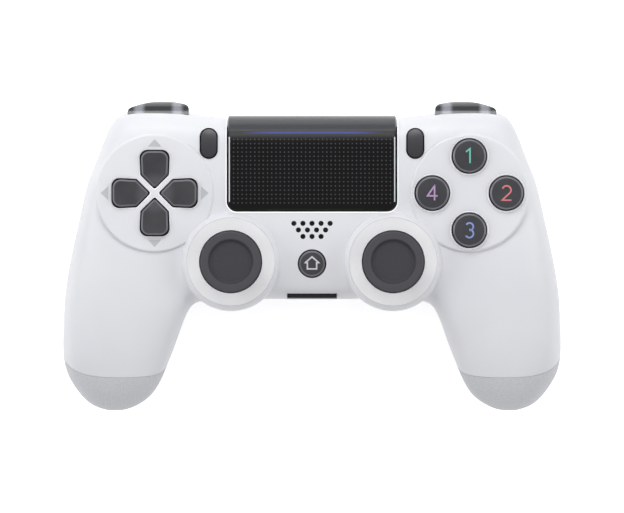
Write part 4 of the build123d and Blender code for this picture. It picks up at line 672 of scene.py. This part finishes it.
dress(gloss_abs, "left_bumper", "right_bumper", "left_trigger", "right_trigger")


# Ports and insides: the extension socket and the headset jack are black glass-filled nylon.
# What lies inside the shell follows: silicone sheets, printed film, boards, cans and springs, each in the
# plain finish of its own stuff.
def stuff(name, dark, light, roughness, grain_size, depth, node_names, metallic=0.0, ior=1.5):
    """A finish whose grain has a real size and depth in metres. Its colour wanders between two close tones
    in clouds about seven grains wide."""
    grain_share = 0.15
    material, tree, shader, place = new_finish(
        name, (("Roughness", roughness), ("Metallic", metallic), ("IOR", ior))
    )
    tone = clouded(tree, place, grain_size / grain_share, 3.0, dark, light, 0.3, 0.7)
    tree.links.new(tone, shader.inputs["Base Color"])
    grained(tree, shader, place, size=grain_size, detail=2.0, strength=0.3, depth=depth)
    dress(material, *node_names)


both = ("left", "right")
# Moulded nylon: its glass fibres show as a fine dull grain.
stuff(
    "Nylon_glass_filled_black", "0B0B0C", "131315", 0.45, 0.0004, 0.00003,
    ("extension_port", "headset_jack"),
)
# Moulded silicone: soft, matt and a little cloudy.
stuff(
    "Silicone_moulded_grey", "B2B4B9", "BFC1C6", 0.6, 0.0004, 0.00002,
    ("dpad_membrane", "button_membrane", "centre_membranes", "shoulder_membranes"),
)
# Rubber full of carbon: dead matt black.
stuff(
    "Carbon_loaded_rubber", "161616", "202020", 0.7, 0.0003, 0.00002,
    ("dpad_side_contacts", "dpad_end_contacts"),
)
# Printed film: thin, dark amber and smooth.
stuff("Polyester_film_printed", "2B2923", "36332C", 0.4, 0.0008, 0.00001, ("control_film",))
# Moulded frame plastic: plain grey with an even grain.
stuff(
    "Polycarbonate_ABS_frame_grey", "4E4F53", "5A5B5F", 0.5, 0.0005, 0.00003,
    ["mid_frame"] + [
        f"{s}_{n}" for s in both
        for n in ("shoulder_frame", "stick_lower_rocker", "stick_upper_rocker", "stick_plunger")
    ],
)
# Lacquered glass-epoxy board: deep green, and its woven glass shows faintly.
stuff(
    "Epoxy_glass_board_green", "1B5234", "236040", 0.35, 0.0006, 0.00002,
    ("main_board", "charge_board", "touch_board"),
)
# Moulded epoxy: charcoal and dull, as chips are.
stuff("Epoxy_moulded_chip_black", "141517", "1E1F21", 0.55, 0.0004, 0.00002, ("board_chips",))
# Moulded polymer of small switches: black with a slight flow grain.
stuff(
    "Liquid_crystal_polymer_black", "242427", "2D2D30", 0.45, 0.0004, 0.00002,
    ["touch_switch", "stick_click_switches"] + [f"{s}_stick_sensors" for s in both],
)
# Shrunk film round the cell: grey, with soft creases 2 mm apart.
stuff("Shrink_wrap_grey", "686B6F", "76797D", 0.4, 0.002, 0.00008, ("battery",))
# Stamped tinplate: bright, with the faint rolling of the sheet.
stuff(
    "Tinplate_stamped", "A9ABAF", "B9BBBF", 0.3, 0.001, 0.00002,
    ["usb_socket"] + [f"{s}_stick_housing" for s in both], metallic=1.0,
)
# Drawn spring wire: bright grey with fine draw marks.
stuff(
    "Spring_steel_drawn", "9A9CA0", "ABADB1", 0.32, 0.0004, 0.00002,
    [f"{s}_{n}" for s in both for n in ("stick_spring", "trigger_spring")], metallic=1.0,
)
# Painted can: black with the orange-peel of thin paint.
stuff("Steel_can_black_painted", "2C2D2F", "37383A", 0.45, 0.0005, 0.00002, ("speaker",))
# Zinc plate: bluish grey and slightly dull.
stuff("Steel_screw_zinc_plated", "85878B", "97999D", 0.35, 0.0004, 0.00002, ("shell_screws",), metallic=1.0)
# Drawn can: smooth bright steel.
stuff(
    "Steel_can_drawn", "9C9EA2", "AEB0B4", 0.28, 0.0008, 0.00002,
    [f"{s}_rumble_motor" for s in both], metallic=1.0,
)
# Sintered alloy: dark grey, dull and slightly rough from its powder.
stuff(
    "Tungsten_alloy_sintered", "7C7E81", "8B8D90", 0.5, 0.0003, 0.00003,
    [f"{s}_rumble_weight" for s in both], metallic=1.0,
)


# Studio: a sheet of white card under the pad, in a room of pale walls with four soft boxes.
# The camera sees card and room as pure white, and the card still takes the pad's shadow.
floor_half, floor_gap, floor_lift = 1.6, 0.0002, 0.62
floor_z = cad_box[0][2] - floor_gap
square = np.array([(-1.0, -1.0), (1.0, -1.0), (1.0, 1.0), (-1.0, 1.0)])
floor = new_piece("floor", np.column_stack([square * floor_half, np.full(4, floor_z)]), [(0, 1, 2, 3)])
# White card, matt: it glows a little to the camera and in reflections alone, which keeps it white there.
card, tree, shader = new_finish(
    "Paper_white_card",
    (
        ("Base Color", linear("F2F2F3")),
        ("Roughness", 0.9),
        ("Specular IOR Level", 0.1),
        ("Emission Color", linear("FFFFFF")),
    ),
)[:3]
path_kind = put(tree, "ShaderNodeLightPath")
seen = any_of(tree, [path_kind.outputs["Is Camera Ray"], path_kind.outputs["Is Glossy Ray"]])
lift = put(tree, "ShaderNodeMath", ((0, seen), (1, floor_lift)), operation="MULTIPLY")
tree.links.new(lift.outputs[0], shader.inputs["Emission Strength"])
floor.data.materials.append(card)

# As light the room is dim overhead and brighter towards the walls. Seen by the camera it is pure white.
wall_light, roof_light = 0.5, 0.24
roof_start, roof_end = 0.2, 0.98
world = bpy.data.worlds.new("studio")
scene.world = world
world.use_nodes = True
tree = world.node_tree
aim = put(tree, "ShaderNodeSeparateXYZ", (("Vector", put(tree, "ShaderNodeTexCoord").outputs["Generated"]),))
dome = put(
    tree,
    "ShaderNodeMapRange",
    (
        ("Value", aim.outputs["Z"]),
        ("From Min", roof_start),
        ("From Max", roof_end),
        ("To Min", wall_light),
        ("To Max", roof_light),
    ),
)
path_kind = put(tree, "ShaderNodeLightPath")
as_seen = put(
    tree,
    "ShaderNodeMix",
    (("Factor", path_kind.outputs["Is Camera Ray"]), (2, dome.outputs["Result"]), (3, 1.0)),
    data_type="FLOAT",
)
background = tree.nodes["Background"]
background.inputs["Color"].default_value = linear("FFFFFF")
tree.links.new(as_seen.outputs[0], background.inputs["Strength"])

lit_middle = (0.0, 0.0, 0.02)


def soft_box(name, power, width, height, place):
    """A rectangular area light at a place, turned towards the middle of the pad."""
    lamp = bpy.data.lights.new(name, "AREA")
    lamp.energy, lamp.shape, lamp.size, lamp.size_y = power, "RECTANGLE", width, height
    light = bpy.data.objects.new(name, lamp)
    light.location = place
    away = np.subtract(place, lit_middle)
    flat = math.hypot(away[0], away[1])
    light.rotation_euler = (math.atan2(flat, away[2]), 0.0, math.atan2(away[0], -away[1]))
    scene.collection.objects.link(light)


soft_box("key_soft_box", 6.0, 0.9, 0.5, (-0.12, 0.8, 0.75))
soft_box("left_soft_box", 3.2, 0.6, 0.6, (-0.85, 0.1, 0.7))
soft_box("right_soft_box", 3.2, 0.6, 0.6, (0.85, 0.1, 0.7))
soft_box("low_soft_box", 1.4, 0.8, 0.5, (0.0, -0.9, 0.7))


# Camera: straight above the face and far off, so that the pad is seen almost without perspective.
# At the height of the face it has the photograph's scale and width.
photo_px_per_m, photo_width_px = 3086.0, 624.0
camera_height, face_height, camera_y = 2.6, 0.035, -0.0002
sensor_width = 36.0
camera_data = bpy.data.cameras.new("camera")
camera_data.sensor_fit = "HORIZONTAL"
camera_data.sensor_width = sensor_width
camera_data.lens = sensor_width * (camera_height - face_height) / (photo_width_px / photo_px_per_m)
camera_data.clip_end = 10.0
camera = bpy.data.objects.new("camera", camera_data)
camera.location = (0.0, camera_y, camera_height)
scene.collection.objects.link(camera)
scene.camera = camera
scene.view_settings.view_transform = "Standard"
